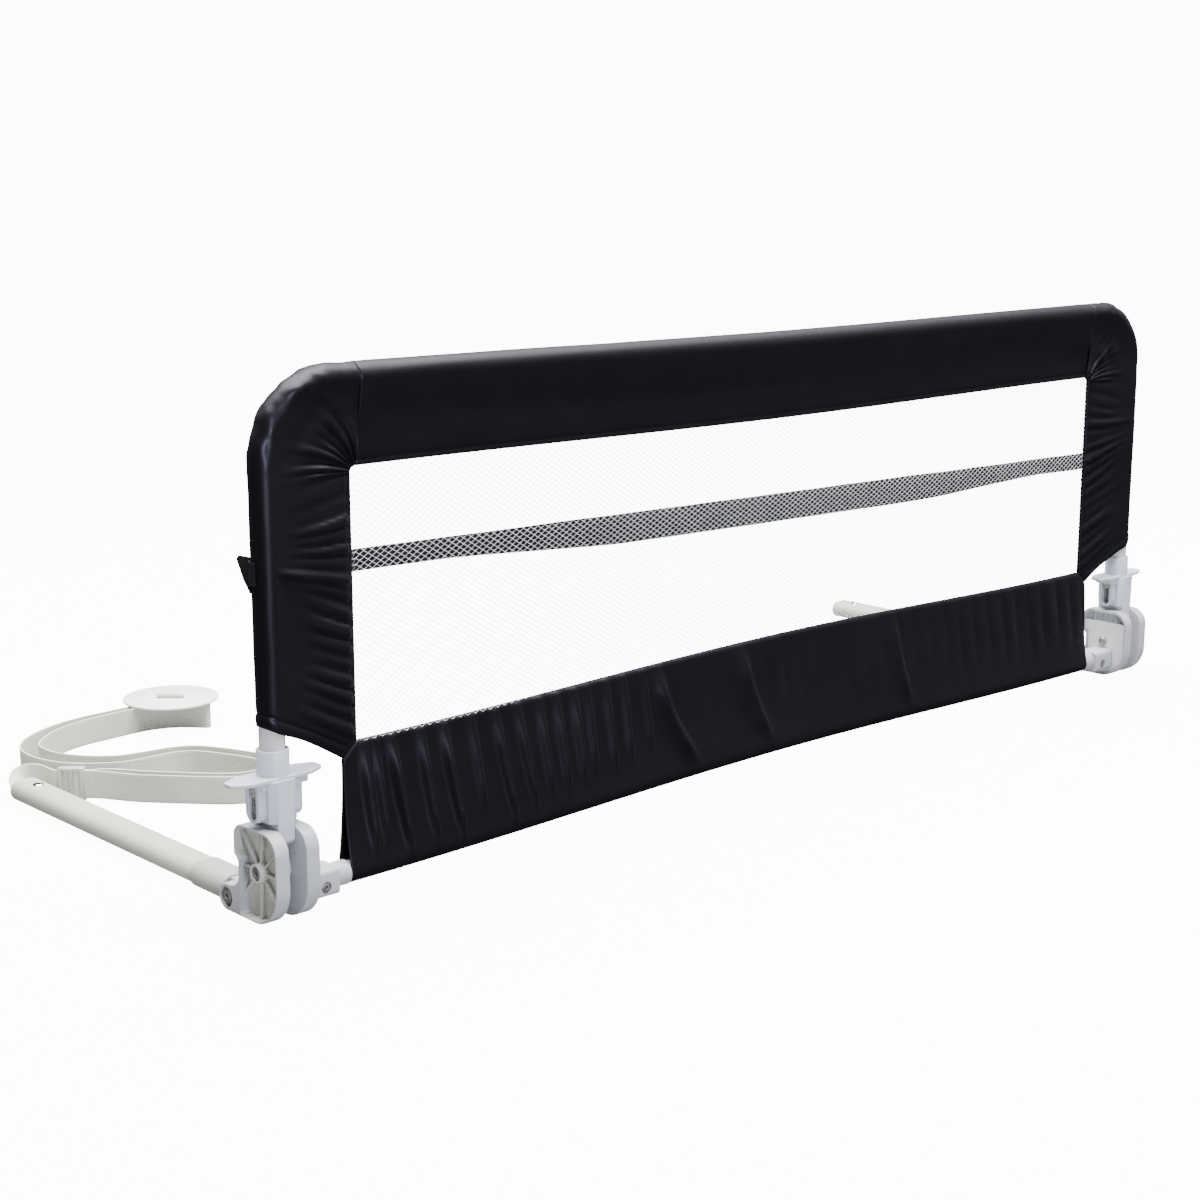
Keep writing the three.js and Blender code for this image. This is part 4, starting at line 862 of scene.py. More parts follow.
def innerCover():
    low = plate["coverDeep"] - plate["outside"]
    high = low + plate["coverThick"]
    cover = outlinePiece("cover", [plateOutline(plate["coverRim"])], low, high, 0.35)
    blockRoom = cutter([blockOutline(block["coverRoom"], block["coverRound"])], low - 3, low + 5)
    above = boxPiece("above", (low - 5, -60, plate["pocketLow"]), (low + 5, 60, 120))
    nutRoom = rodPiece("nutRoom", plate["nutRoom"], (low - 3, low + 5), armBoltPlace)
    return cutAway(cover, above, blockRoom, nutRoom)


# A low round head with a hexagon socket, on a shaft.
def socketBolt(name, head, shaft, seat, height, end, centre, along="x", socket=2.1):
    top = seat + height
    profile = [
        (0, end), (shaft, end), (shaft, seat), (head - 0.3, seat), (head, seat + 0.3),
        (head, top - 0.9), (head - 0.35, top - 0.3), (head - 1.0, top), (0, top),
    ]
    bolt = turnedPiece(name, profile, centre, along)
    x, y, z = centre
    middle, deep = ((y, z), 2) if along == "x" else ((x, z), 1.6)
    hexagon = arcPoints(middle, socket, 30, 390, 6)[:-1]
    cutAway(bolt, cutter([hexagon], top - deep, top + 2, along))
    addModifier(
        bolt, "BEVEL", width=0.00022, segments=2, limit_method="ANGLE",
        angle_limit=math.radians(50),
    )
    applyModifiers(bolt)
    return smoothEdges(bolt, 50)


def domedNut(name, face, centre, radius=4.6, height=3.0):
    profile = [
        (0, face), (radius, face), (radius, face - 0.9), (radius - 0.5, face - height * 0.62),
        (radius * 0.62, face - height * 0.92), (1.6, face - height), (0, face - height),
    ]
    return turnedPiece(name, profile, centre)


hingePlasticAndShade = [plastics["hingePlastic"], plastics["recessShadeTone"]]
onBothSides(outerPlate(), "OuterHingePlate", "base", "hinge_plastic", hingePlasticAndShade,
            "outer_hinge_plate")
onBothSides(innerPlate(), "InnerHingePlate", "base", "hinge_plastic",
            plastics["hingePlastic"], "inner_hinge_plate")
onBothSides(innerCover(), "InnerHingeCover", "base", "cover_plastic",
            plastics["coverPlastic"], "inner_hinge_cover")
washerProfile = [(3.3, 15.1), (7.3, 15.1), (7.5, 15.3), (7.5, 15.9), (7.3, 16.1), (3.3, 16.1)]
washerProfile.append(washerProfile[0])
barScrew = socketBolt(
    "barScrew", head=3.9, shaft=2, seat=-12.2, height=2.6, end=-13,
    centre=(block["screwX"], 0, block["screwZ"]), along="y", socket=1.6,
)
barScrew.data.transform(Matrix.Diagonal((1, -1, 1, 1)))
barScrew.data.transform(Matrix.Translation(mm(0, -block["screwPlane"], 0)))
faceOutwards(barScrew)
steelPieces = {
    "pivot_bolt": socketBolt(
        "pivotBolt", head=5, shaft=3, seat=14.9, height=3, end=-20.7, centre=pivotPlace
    ),
    "pivot_nut": domedNut("pivotNut", -18.7, pivotPlace),
    "arm_bolt": socketBolt(
        "armBolt", head=5, shaft=3, seat=16.2, height=2.7, end=-18.0, centre=armBoltPlace
    ),
    "arm_washer": turnedPiece("armWasher", washerProfile, armBoltPlace),
    "arm_nut": domedNut("armNut", -13.4, armBoltPlace),
    "bar_screw": barScrew,
}
for nodeName, piece in steelPieces.items():
    title = nodeName.title().replace("_", "")
    onBothSides(piece, title, "base", "steel", plastics["steel"], nodeName)
print("hinges made")


# Release sleeves, tongues, pins and springs

sleeve = {
    "bore": 9.8, "radius": 12, "top": 128, "collarLow": 105, "shoulder": 75.6, "lockFoot": 59,
    "lockReach": 15.5, "lockHalf": 7.1, "lockSlope": 3, "wingLow": 106, "wingHigh": 109,
    "wingRoot": 22, "wingBend": 24, "wingRound": 4, "wingSpan": 39, "wingWidth": 12,
    "tipWidth": 6, "tipRound": 4.5, "tipStep": 3.5, "earInside": 10.6, "earReach": 19,
    "earWidth": 8.5, "slotWidth": 3.5, "earSlot": 4.6, "slotLow": 79, "slotHigh": 101.6,
    "stepLow": 101, "stepReach": 23.5, "stepOut": 17.5, "stepWidth": 10.4,
}
tongue = {
    "eye": 9.2, "half": 7.1, "shank": 9.4, "shankTop": 79, "plug": 7.9, "plugLow": 76,
    "plugTop": 111,
}
pinHeight = 98


def slotOutline(half, low, high, steps=8):
    outline = arcPoints((0, low + half), half, 180, 360, steps)
    return outline + arcPoints((0, high - half), half, 0, 180, steps)


def wingOutline():
    root, bend, bendRadius = sleeve["wingRoot"], sleeve["wingBend"], sleeve["wingRound"]
    bendY = sleeve["wingWidth"] - bendRadius
    tipX, tipY = sleeve["wingSpan"] - sleeve["tipRound"], sleeve["tipWidth"] - sleeve["tipStep"]
    right = [(root, -sleeve["wingWidth"])]
    right += arcPoints((bend, -bendY), bendRadius, -90, -66, 3)
    right += arcPoints((tipX, -tipY), sleeve["tipRound"], -66, 0, 7)
    right += arcPoints((tipX, tipY), sleeve["tipRound"], 0, 66, 7)
    right += arcPoints((bend, bendY), bendRadius, 66, 90, 3)
    right += [(root, sleeve["wingWidth"])]
    return right + [(-x, -y) for x, y in right]


def releaseSleeve():
    bore, outer = sleeve["bore"], sleeve["radius"]
    low, top = sleeve["collarLow"], sleeve["top"]
    collar = turnedPiece("collar", [
        (bore, low), (outer, low), (outer, top - 0.8), (outer - 0.3, top - 0.2),
        (outer - 0.8, top), (bore + 0.3, top), (bore, top - 0.3), (bore, low),
    ], (0, 0, 0), "z", 64)
    foot = sleeve["shoulder"]
    ring = circlePoints((0, 0), bore + 0.1, 64)
    half, reach, lockFoot = sleeve["lockHalf"], sleeve["lockReach"], sleeve["lockFoot"]
    cut, face = reach - outer + half, reach - 0.2
    plan = [(outer, -cut), (outer, cut), (half, face), (-half, face)]
    plan += [(-x, -y) for x, y in plan]
    high, slope = sleeve["wingLow"] + 1, sleeve["lockSlope"]
    barrel = outlinePiece("barrel", [plan, ring], foot, high, 0.7, "z", 3)
    slot = slotOutline(sleeve["slotWidth"], sleeve["slotLow"], sleeve["slotHigh"])
    cutAway(barrel, cutter([slot], -30, 30))
    side = [(-reach, high), (-reach, lockFoot + slope), (-reach + slope, lockFoot)]
    side += [(reach - slope, lockFoot), (reach, lockFoot + slope), (reach, high)]
    lock = outlinePiece("lock", [side], -half, half, 0.9, segments=4)
    cutAway(lock, rodPiece("bore", bore, (40, 120), (0, 0, 0), "z"))
    pieces = [collar, barrel, lock]
    wide, near, far = sleeve["earWidth"], sleeve["earInside"], sleeve["earReach"]
    ear = arcPoints((0, foot + wide), wide, 180, 360, 20) + [(wide, high), (-wide, high)]
    hole = slotOutline(sleeve["earSlot"], sleeve["slotLow"] - 1, sleeve["slotHigh"] + 2.4)
    for start, end in ((near, far), (-far, -near)):
        pieces.append(outlinePiece("ear", [ear, hole], start, end, 0.7, segments=3))
    pieces.append(outlinePiece(
        "wing", [wingOutline(), ring], sleeve["wingLow"], sleeve["wingHigh"], 0.8, "z", 3
    ))
    stepOut, stepReach = sleeve["stepOut"], sleeve["stepReach"]
    step = roundedOutline(
        (stepOut + stepReach) / 2, sleeve["stepWidth"], 1.5, ((stepOut - stepReach) / 2, 0)
    )
    pieces.append(outlinePiece("step", [step, ring], sleeve["stepLow"], high, 0.5, "z"))
    return joinPieces("releaseSleeve", pieces)


def uprightTongue():
    half = tongue["half"]
    ring = circlePoints((0, pivotZ), tongue["eye"])
    eye = outlinePiece("eye", [ring], -half, half, 0.6, segments=3)
    shank = rodPiece("shank", tongue["shank"], (pivotZ, tongue["shankTop"]), (0, 0, 0), "z")
    keepInside(shank, boxPiece("flats", (-half, -20, 0), (half, 20, 120)))
    ends = (tongue["plugLow"], tongue["plugTop"])
    plug = rodPiece("plug", tongue["plug"], ends, (0, 0, 0), "z", 0.6)
    return joinPieces("uprightTongue", [eye, shank, plug])


def guidePin():
    heads = []
    for sign in (1, -1):
        heads.append(socketBolt(
            "pinHead", head=3.1, shaft=2, seat=16.3, height=2.4, end=0,
            centre=(0, 0, pinHeight), socket=1.3,
        ))
        if sign < 0:
            heads[-1].data.transform(Matrix.Diagonal((-1, 1, 1, 1)))
            faceOutwards(heads[-1])
    return joinPieces("guidePin", heads)


def releaseSpring():
    spring = {"centre": 14.4, "radius": 2.4, "wire": 0.5, "low": 80.6, "high": 94.0, "turns": 6}
    points = []
    steps = spring["turns"] * 18
    for i in range(steps + 1):
        turn = math.tau * i * spring["turns"] / steps
        rise = spring["low"] + (spring["high"] - spring["low"]) * i / steps
        points.append((
            spring["centre"] + spring["radius"] * math.cos(turn),
            spring["radius"] * math.sin(turn), rise,
        ))
    return wirePiece("releaseSpring", points, spring["wire"], 3)


onBothSides(releaseSleeve(), "ReleaseSleeve", "release", "hinge_plastic",
            plastics["sleevePlastic"], "release_sleeve")
onBothSides(uprightTongue(), "Tongue", "rail", "hinge_plastic",
            plastics["hingePlastic"], "tongue")
onBothSides(guidePin(), "GuidePin", "rail", "steel", plastics["zincSteel"], "guide_pin")
for piece in onBothSides(releaseSpring(), "ReleaseSpring", "rail", "steel",
                         plastics["zincSteel"], "release_spring"):
    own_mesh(piece)
print("release sleeves made")


# Support arms

arm = {
    "halfWidth": 14, "halfHeight": 9, "wall": 1.2, "socketWall": 1.0, "neck": 12.5,
    "socketLength": 45, "boreStart": 12, "tubeStart": 13, "neckRadius": 8.6, "neckHalf": 7.1,
    "end": 383, "buttonFromEnd": 24,
}


def ovalOutline(inset):
    half = arm["halfHeight"] - inset
    return roundedOutline(arm["halfWidth"] - inset, half, half * 0.995, (0, armZ), 14)


def armSocket():
    start = armY + arm["neck"]
    end = start + arm["socketLength"]
    wall = -(arm["socketWall"] + 0.3)
    shell = outlinePiece("shell", [ovalOutline(wall)], start, end, 1.6, "y", 4)
    cutAway(shell, cutter([ovalOutline(-0.25)], start + arm["boreStart"], end + 4, "y"))
    radius, half = arm["neckRadius"], arm["neckHalf"]
    eye = arcPoints((armY, armZ), radius, 90, 270, 20)
    eye += [(start + 3, armZ - radius), (start + 3, armZ + radius)]
    neck = outlinePiece("neck", [eye], -half, half, 0.8, segments=3)
    return joinPieces("armSocket", [shell, neck])


def armTube():
    start = armY + arm["neck"] + arm["tubeStart"]
    rings = [ovalOutline(0), ovalOutline(arm["wall"])]
    return outlinePiece("tube", rings, start, arm["end"], 0.35, "y", 3)


def armButton():
    top = armZ + arm["halfHeight"]
    profile = [(0, top - 4), (1.5, top - 4), (1.5, top), (4.6, top), (4.75, top + 0.25)]
    profile += [(4.2, top + 0.85), (2.8, top + 1.25), (0, top + 1.45)]
    return turnedPiece("armButton", profile, (0, arm["end"] - arm["buttonFromEnd"], 0), "z")


onBothSides(armSocket(), "ArmSocket", "arm", "arm_plastic", plastics["armPlastic"], "arm_socket")
onBothSides(armTube(), "ArmTube", "arm", "arm_paint", plastics["armPaint"], "arm_tube")
onBothSides(armButton(), "ArmButton", "arm", "bright_rivet", plastics["brightRivet"], "arm_button")
print("arms made")


# Frame tubes. The top tube and the bottom bar lie inside the cover, and keep their own mesh.

def settle(x, half):
    return math.cos(math.pi * x / (2 * half)) ** 2 if abs(x) < half else 0.0


def topAxisAt(x):
    return rail["topAxis"] - rail["topSag"] * settle(x, rail["windowHalf"])


def windowTopAt(x):
    return rail["windowTop"] - rail["windowTopSag"] * settle(x, rail["windowHalf"])


def barAt(x):
    return rail["barHeight"] + rail["barBow"] * settle(x, rail["skirtHalf"])


def windowBottomAt(x):
    return rail["windowBottom"] + rail["barBow"] * settle(x, rail["windowHalf"])


# The tube's middle from the straight upright, round the bend, to the seam on top.
def cornerPoint(share):
    centreX = rail["uprightX"] - rail["bendRadius"]
    centreZ = rail["topAxis"] - rail["bendRadius"]
    straightTop = rail["windowTop"] - rail["windowCorner"]
    rise = centreZ - straightTop
    arc = math.pi / 2 * rail["bendRadius"]
    level = centreX - (rail["windowHalf"] - rail["windowCorner"])
    run = share * (rise + arc + level)
    if run < rise:
        return (rail["uprightX"], straightTop + run)
    if run > rise + arc:
        return (centreX - (run - rise - arc), rail["topAxis"])
    turn = (run - rise) / rail["bendRadius"]
    return (centreX + rail["bendRadius"] * math.cos(turn),
            centreZ + rail["bendRadius"] * math.sin(turn))


def cornerTube():
    ends = {"foot": 79.3, "straight": (200, 318), "neckX": 0.435, "bore": 8.3, "boreTop": 130}
    upright = rail["uprightX"]
    points = [(0, 0, z) for z in (ends["foot"], *ends["straight"])]
    for i in range(1, 33):
        x, z = cornerPoint(i / 32)
        points.append(((x - upright) * 1000, 0, z * 1000))
    points.append(((ends["neckX"] - upright) * 1000, 0, rail["topAxis"] * 1000))
    tube = wirePiece("cornerTube", points, rail["tubeRadius"] * 1000, 10)
    return cutAway(tube, wirePiece("bore", [(0, 0, 70), (0, 0, ends["boreTop"])], ends["bore"], 8))


onBothSides(cornerTube(), "CornerTube", "rail", "frame_paint", plastics["tubePaint"], "corner_tube")
for name in ("top_tube", "bottom_bar"):
    piece = nodes[name]
    piece.data.materials.clear()
    piece.data.materials.append(plastics["tubePaint"])
print("frame tubes made")


# Cover. Each row of a cover sheet starts at the front seam of the window, goes over the
# tube and comes back to the seam behind it.

cover = {
    "flatSteps": 34, "arcSteps": 16, "rowStep": 0.0017, "edgeHalf": 0.0011, "cloth": 0.0007,
    "pucker": 0.0125, "puckerDepth": 0.0034, "hem": 0.010, "hemRows": 16, "hemTall": 0.018,
    "hemBulge": 0.0024, "seamBead": 0.0005,
}
# Heights of the folds in metres. The band pulls at the side panels near its own height.
sideFolds = {
    "hemRoll": 0.0005, "hemStitch": 0.0006, "hemWaver": 0.0004, "overTube": 0.0002,
    "crumple": 0.0016, "bandHeight": 0.124, "bandSpread": 0.018, "hemShare": 0.55,
    "fineShare": 0.35, "fineSpacing": 0.43, "broad": 0.0016, "twist": 0.0024, "slack": 0.0018,
    "upSlant": 0.020, "upAt": 0.17, "upSpread": 0.03, "downSlant": 0.012, "downAt": 0.1,
    "downSpread": 0.02, "cornerSlant": 0.03, "calmAt": 0.19, "calmSpread": 0.02,
}
# How the separate folds of a row differ in place, height and length
puckerMix = {"sway": 0.25, "power": 0.7, "powerSpread": 0.9, "reach": 0.86, "reachSpread": 0.5}
topFolds = {
    "ends": 0.45, "endSpread": 0.03, "overTube": 0.0002, "long": 0.0018, "fine": 0.0005,
    "slack": 0.0016,
}


def softNoise(x, y, z=0.0):
    return noise.noise(Vector((x, y, z)))


def smoothStep(low, high, value):
    share = min(1, max(0, (value - low) / (high - low)))
    return share * share * (3 - 2 * share)


def mound(value, middle, width):
    return math.exp(-((value - middle) / width) ** 2)


# A row of separate rounded folds, each with its own height and length.
def puckers(at, share, spacing, seed):
    at += puckerMix["sway"] * spacing * softNoise(at * 0.4 / spacing, seed)
    index = math.floor(at / spacing)
    local = at / spacing - index
    power = softNoise(index * 0.73 + 0.31, seed + 5.5)
    power = puckerMix["power"] + puckerMix["powerSpread"] * power
    reach = softNoise(index * 0.61 + 0.17, seed + 9.5)
    reach = puckerMix["reach"] + puckerMix["reachSpread"] * reach
    return math.sin(math.pi * local) * power * (1 - smoothStep(reach * 0.35, reach, share))


def coverRow(tube, edge, along, wrinkle, place):
    row = []
    out = Vector((tube[0] - edge[0], 0, tube[1] - edge[1]))
    length = out.length
    out.normalize()
    side = along.cross(out).length
    reach = rail["ringRadius"] / max(side, 0.3)
    flat, arc = cover["flatSteps"], cover["arcSteps"]

    def put(i, sign):
        share = (i / flat) ** 1.25
        y = cover["edgeHalf"] + (rail["ringRadius"] - cover["edgeHalf"]) * share
        bead = mound(share * length, 0.0015, 0.0012) - mound(share * length, 0.004, 0.001)
        y += cover["seamBead"] * bead
        y += wrinkle(place, share, sign)
        x = edge[0] + out.x * length * share
        z = edge[1] + out.z * length * share
        row.append((x, rail["plane"] + sign * y, z))

    for i in range(flat + 1):
        put(i, -1)
    for i in range(1, arc):
        turn = math.pi * i / arc - math.pi / 2
        swell = 1 + wrinkle(place, 1 + i / arc, 0) / rail["ringRadius"]
        x = tube[0] + out.x * reach * swell * math.cos(turn)
        z = tube[1] + out.z * reach * swell * math.cos(turn)
        row.append((x, rail["plane"] + rail["ringRadius"] * swell * math.sin(turn), z))
    for i in range(flat + 1):
        put(flat - i, 1)
    return row


# Folds of a side panel by height over the window's foot, nearness to the corner's middle and
# height over the hem. A share over 1 lies on the tube.
def sideWrinkle(place, share, sign, seed):
    height, corner, overHem = place
    hemRoll = 0.0
    if overHem < 1.6 * cover["hem"]:
        hemRoll = sideFolds["hemRoll"] * math.sin(math.pi * min(1, overHem / cover["hem"]))
        hemRoll -= sideFolds["hemStitch"] * mound(overHem, cover["hem"], 0.0014)
        hemRoll += sideFolds["hemWaver"] * softNoise(share * 9, seed, 4)
    if share > 1:
        crumple = softNoise(height * 70, 2.2 * share, seed)
        crumple += 0.6 * softNoise(height * 160, 4 * share, seed + 2)
        soft = sideFolds["overTube"] * softNoise(height * 30, 3 * share, seed + 4)
        return hemRoll + soft + sideFolds["crumple"] * corner * crumple
    start = smoothStep(0, 0.08, share)
    close = 1 - smoothStep(0.86, 1, share)
    nearBand = mound(height, sideFolds["bandHeight"], sideFolds["bandSpread"])
    slant = sideFolds["upSlant"] * mound(height, sideFolds["upAt"], sideFolds["upSpread"])
    slant -= sideFolds["downSlant"] * mound(height, sideFolds["downAt"], sideFolds["downSpread"])
    slant += sideFolds["cornerSlant"] * corner
    at = height + slant * share
    calm = mound(height, sideFolds["calmAt"], sideFolds["calmSpread"])
    depth = cover["puckerDepth"] * (0.9 + 0.25 * nearBand - 0.4 * calm)
    if overHem < cover["hemTall"]:
        depth *= sideFolds["hemShare"]
    folds = puckers(at, share * (1 - 0.25 * nearBand), cover["pucker"], seed + 3 * sign)
    fineSpacing = cover["pucker"] * sideFolds["fineSpacing"]
    fine = sideFolds["fineShare"] * puckers(at, share * 1.5, fineSpacing, seed + 20 + sign)
    broad = softNoise(height * 11 + share * 0.5, share * 1.4, seed + 7 * sign) * sideFolds["broad"]
    twist = softNoise(height * 34, share * 5, seed + 40) * sideFolds["twist"] * corner
    slack = -sideFolds["slack"] * math.sin(math.pi * share) * (0.5 + 0.5 * corner)
    level = (folds + fine) * depth * start * close
    return level + (broad + twist) * math.sin(math.pi * share) + slack + hemRoll * smoothStep(0, 0.1, share)


def sidePanel(seed):
    rows = []
    straightTop = rail["windowTop"] - rail["windowCorner"]
    half, seamX = rail["windowHalf"], rail["windowHalf"] - rail["windowCorner"]
    stations = []
    hemRows, hemTall = cover["hemRows"], cover["hemTall"]
    for i in range(hemRows + 1):  # the cloth runs down to the sloping hem
        share = i / hemRows
        tube = (rail["uprightX"], rail["hemHeight"] + hemTall * share)
        edge = (
            rail["skirtHalf"] + (half - rail["skirtHalf"]) * share,
            rail["skirtCorner"] + (rail["windowBottom"] - rail["skirtCorner"]) * share,
        )
        stations.append((tube, edge, (0.012 * (share - 1), 0.0, hemTall * share)))
    tall = straightTop - rail["hemHeight"] - hemTall
    count = round(tall / cover["rowStep"])
    for i in range(1, count + 1):
        share = i / count
        tube = (rail["uprightX"], rail["hemHeight"] + hemTall + tall * share)
        edgeZ = rail["windowBottom"] + (straightTop - rail["windowBottom"]) * share
        place = (edgeZ - rail["windowBottom"], 0.0, hemTall + tall * share)
        stations.append((tube, (half, edgeZ), place))
    turns = 64
    for i in range(1, turns + 1):
        share = i / turns
        turn = math.pi / 2 * share
        edge = (
            seamX + rail["windowCorner"] * math.cos(turn),
            straightTop + rail["windowCorner"] * math.sin(turn),
        )
        place = (0.2 + 0.1 * share, math.sin(math.pi * share) ** 0.6, 1.0)
        stations.append((cornerPoint(share), edge, place))

    def wrinkle(place, share, sign):
        return sideWrinkle(place, share, sign, seed)

    for i, (tube, edge, place) in enumerate(stations):
        before, after = stations[max(0, i - 1)][0], stations[min(len(stations) - 1, i + 1)][0]
        along = Vector((after[0] - before[0], 0, after[1] - before[1])).normalized()
        row = coverRow(tube, edge, along, wrinkle, place)
        low = max(0, 1 - i / hemRows)
        for j, (x, y, z) in enumerate(row):  # made round the point under the upright
            over = min(1, max(0, (x - edge[0]) / (rail["uprightX"] - edge[0]))) if low else 0
            rise = cover["hemBulge"] * low * math.sin(math.pi * over)
            row[j] = (x - rail["uprightX"], y - rail["plane"], z + rise)
        rows.append(row)
    return finishSheet(clothPiece("sidePanel", rows), cover["cloth"])


def finishSheet(piece, thickness):
    faceOutwards(piece)
    addModifier(piece, "SOLIDIFY", thickness=thickness, offset=-1)
    applyModifiers(piece)
    return piece


def topWrinkle(place, share, sign):
    x = place[0]
    edges = mound(abs(x), topFolds["ends"], topFolds["endSpread"])
    if share > 1:
        return topFolds["overTube"] * softNoise(x * 16, 3 * share, 3) * (1 + 2 * edges)
    fade = math.sin(math.pi * min(1, share * 1.02)) ** 1.1
    long = softNoise(x * 3.2, share * 2.6, 4 * sign + 2) * topFolds["long"]
    fine = softNoise(x * 30, share * 2.4, 6 * sign + 5) * topFolds["fine"] * (1 + 3 * edges)
    slack = -topFolds["slack"] * math.sin(math.pi * share)
    return (long + fine + slack) * fade


def topPanel():
    end = rail["windowHalf"] - rail["windowCorner"]
    count = 380
    rows = []
    for i in range(count + 1):
        x = end - 2 * end * i / count
        along = Vector((-1, 0, 0))
        rows.append(coverRow((x, topAxisAt(x)), (x, windowTopAt(x)), along, topWrinkle, (x, 0)))
    return finishSheet(clothPiece("topPanel", rows), cover["cloth"])


panels = []
for side, seed in (("right", 31.7), ("left", 12.3)):
    panels += onBothSides(sidePanel(seed), "SidePanel", "rail", "cloth", cloths["cloth"],
                          "side_panel", sides=(side,))
coverTop = finishPiece(topPanel(), "rail", "cloth", cloths["cloth"], "top_panel")
print("cover made")


# Skirt: one sheet from the window's lower seam, round the bottom bar and up behind it

skirt = {
    "columns": 700, "flatSteps": 20, "arcSteps": 10, "cloth": 0.0007, "spacing": 0.0235,
    "depth": 0.0042, "lean": 0.012, "creaseDepth": 0.0066, "gatherDepth": 0.0054,
    "creaseFlank": 0.0100, "creaseBack": 0.0035, "gatherFlank": 0.0105, "gatherBack": 0.0048,
    "broad": 0.0016, "underSeam": 0.0003, "overBar": 0.0011, "calm": 0.2, "lively": 0.5,
    "livelyAt": 0.42, "livelySpread": 0.12, "behind": 0.5,
}
# Where each fold starts under the seam, where it runs out at the foot, and its strength
skirtCreases = [(-0.152, -0.104, 1.0), (-0.048, -0.009, 0.85), (0.161, 0.187, 0.6)]
skirtGathers = [
    (-0.459, -0.452, 0.8), (-0.449, -0.440, 0.7), (-0.434, -0.420, 1.0), (-0.406, -0.394, 0.85),
    (-0.384, -0.369, 1.0), (-0.356, -0.343, 0.5), (-0.332, -0.315, 0.95), (-0.309, -0.292, 0.85),
    (-0.286, -0.273, 0.7), (-0.268, -0.255, 0.65), (-0.249, -0.237, 0.6), (-0.234, -0.224, 0.45),
    (-0.213, -0.202, 0.55), (-0.193, -0.183, 0.45), (-0.170, -0.158, 0.35),
]


def skirtGather(x, drop):
    height = 0
    for top, foot, power in skirtGathers:
        away = x - top - (foot - top) * drop
        flank = skirt["gatherFlank"] if away < 0 else skirt["gatherBack"]
        ridge = smoothStep(0, 1, 1 - abs(away) / (flank * (1 - 0.35 * drop)))
        fade = 1 - smoothStep(0.4 + 0.35 * power, 0.7 + 0.35 * power, drop)
        height = max(height, (0.4 + 0.6 * power) * ridge * fade)
    return height * skirt["gatherDepth"] * smoothStep(-0.1, 0.36, drop)


def skirtFold(x, drop, sign):
    hang = math.sin(math.pi * min(1, max(0, drop)) ** 0.75)
    lively = mound(x, skirt["livelyAt"], skirt["livelySpread"])
    strength = skirt["calm"] + skirt["lively"] * lively
    at = x - skirt["lean"] * drop
    folds = puckers(at, drop * 0.7, skirt["spacing"], 61.4 + sign)
    broad = skirt["broad"] * softNoise(x * 7, drop * 0.8, 3 + sign)
    depth = (folds * strength * skirt["depth"] + broad) * hang
    if sign > 0:
        return skirt["behind"] * depth
    for top, foot, power in skirtCreases:
        away = x - top - (foot - top) * drop ** 1.7
        width = skirt["creaseFlank"] if away < 0 else skirt["creaseBack"]
        rise = smoothStep(0.02, 0.3, drop) * (1 - smoothStep(0.7, 1, drop))
        depth += skirt["creaseDepth"] * power * mound(away, 0, width) * rise
    return depth + skirtGather(x, drop)


def skirtRow(x):
    row = []
    top = windowBottomAt(x)
    past = abs(x) - rail["windowHalf"]
    if past > 0:
        share = past / (rail["skirtHalf"] - rail["windowHalf"])
        top = rail["windowBottom"] + (rail["skirtCorner"] - rail["windowBottom"]) * share
    top -= skirt["underSeam"]
    low = barAt(x)
    radius = rail["barRadius"] + skirt["overBar"]
    flat, arc = skirt["flatSteps"], skirt["arcSteps"]

    def put(drop, sign):
        y = cover["edgeHalf"] + (radius - cover["edgeHalf"]) * drop ** 2.2
        y = rail["plane"] + sign * (y + skirtFold(x, drop, sign))
        row.append((x, y, top + (low - top) * drop))

    for i in range(flat + 1):
        put(i / flat, -1)
    for i in range(1, arc):
        turn = math.pi + math.pi * i / arc
        row.append((x, rail["plane"] + radius * math.cos(turn), low + radius * math.sin(turn)))
    for i in range(flat + 1):
        put(1 - i / flat, 1)
    return row


def skirtSheet():
    count = skirt["columns"]
    half = rail["skirtHalf"]
    rows = [skirtRow(half - 2 * half * i / count) for i in range(count + 1)]
    return finishSheet(clothPiece("skirt", rows), skirt["cloth"])


skirtPiece = skirtSheet()
skirtPiece.data.materials.append(cloths["cloth"])
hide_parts("upper_skirt", "skirt_hem")
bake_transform(skirtPiece)
print("skirt made")


# Net: yarn in a diamond lattice, knotted where it crosses

net = {
    "pitchX": 0.0075, "pitchZ": 0.0046, "yarn": 0.00046, "overlap": 0.0013, "seamGap": 0.0003,
    "proudTo": -0.34, "flatFrom": -0.27, "proud": 0.0026,
}


def netPlace(u, w):
    half = rail["windowHalf"] - net["seamGap"]
    x = -half + 2 * half * u
    # The knots of its lower edge lie on the seam only near the left end.
    proud = 1 - smoothStep(net["proudTo"], net["flatFrom"], x)
    low, high = windowBottomAt(x) - net["overlap"] * proud, windowTopAt(x) - net["seamGap"]
    inset = abs(x) - (half - rail["windowCorner"])
    if inset > 0:
        high -= rail["windowCorner"] * (inset / rail["windowCorner"]) ** 2
    z = low + (high - low) * w
    forward = net["proud"] * proud * (1 - smoothStep(0.002, 0.008, z - low))
    return (x, rail["plane"] - forward, z)


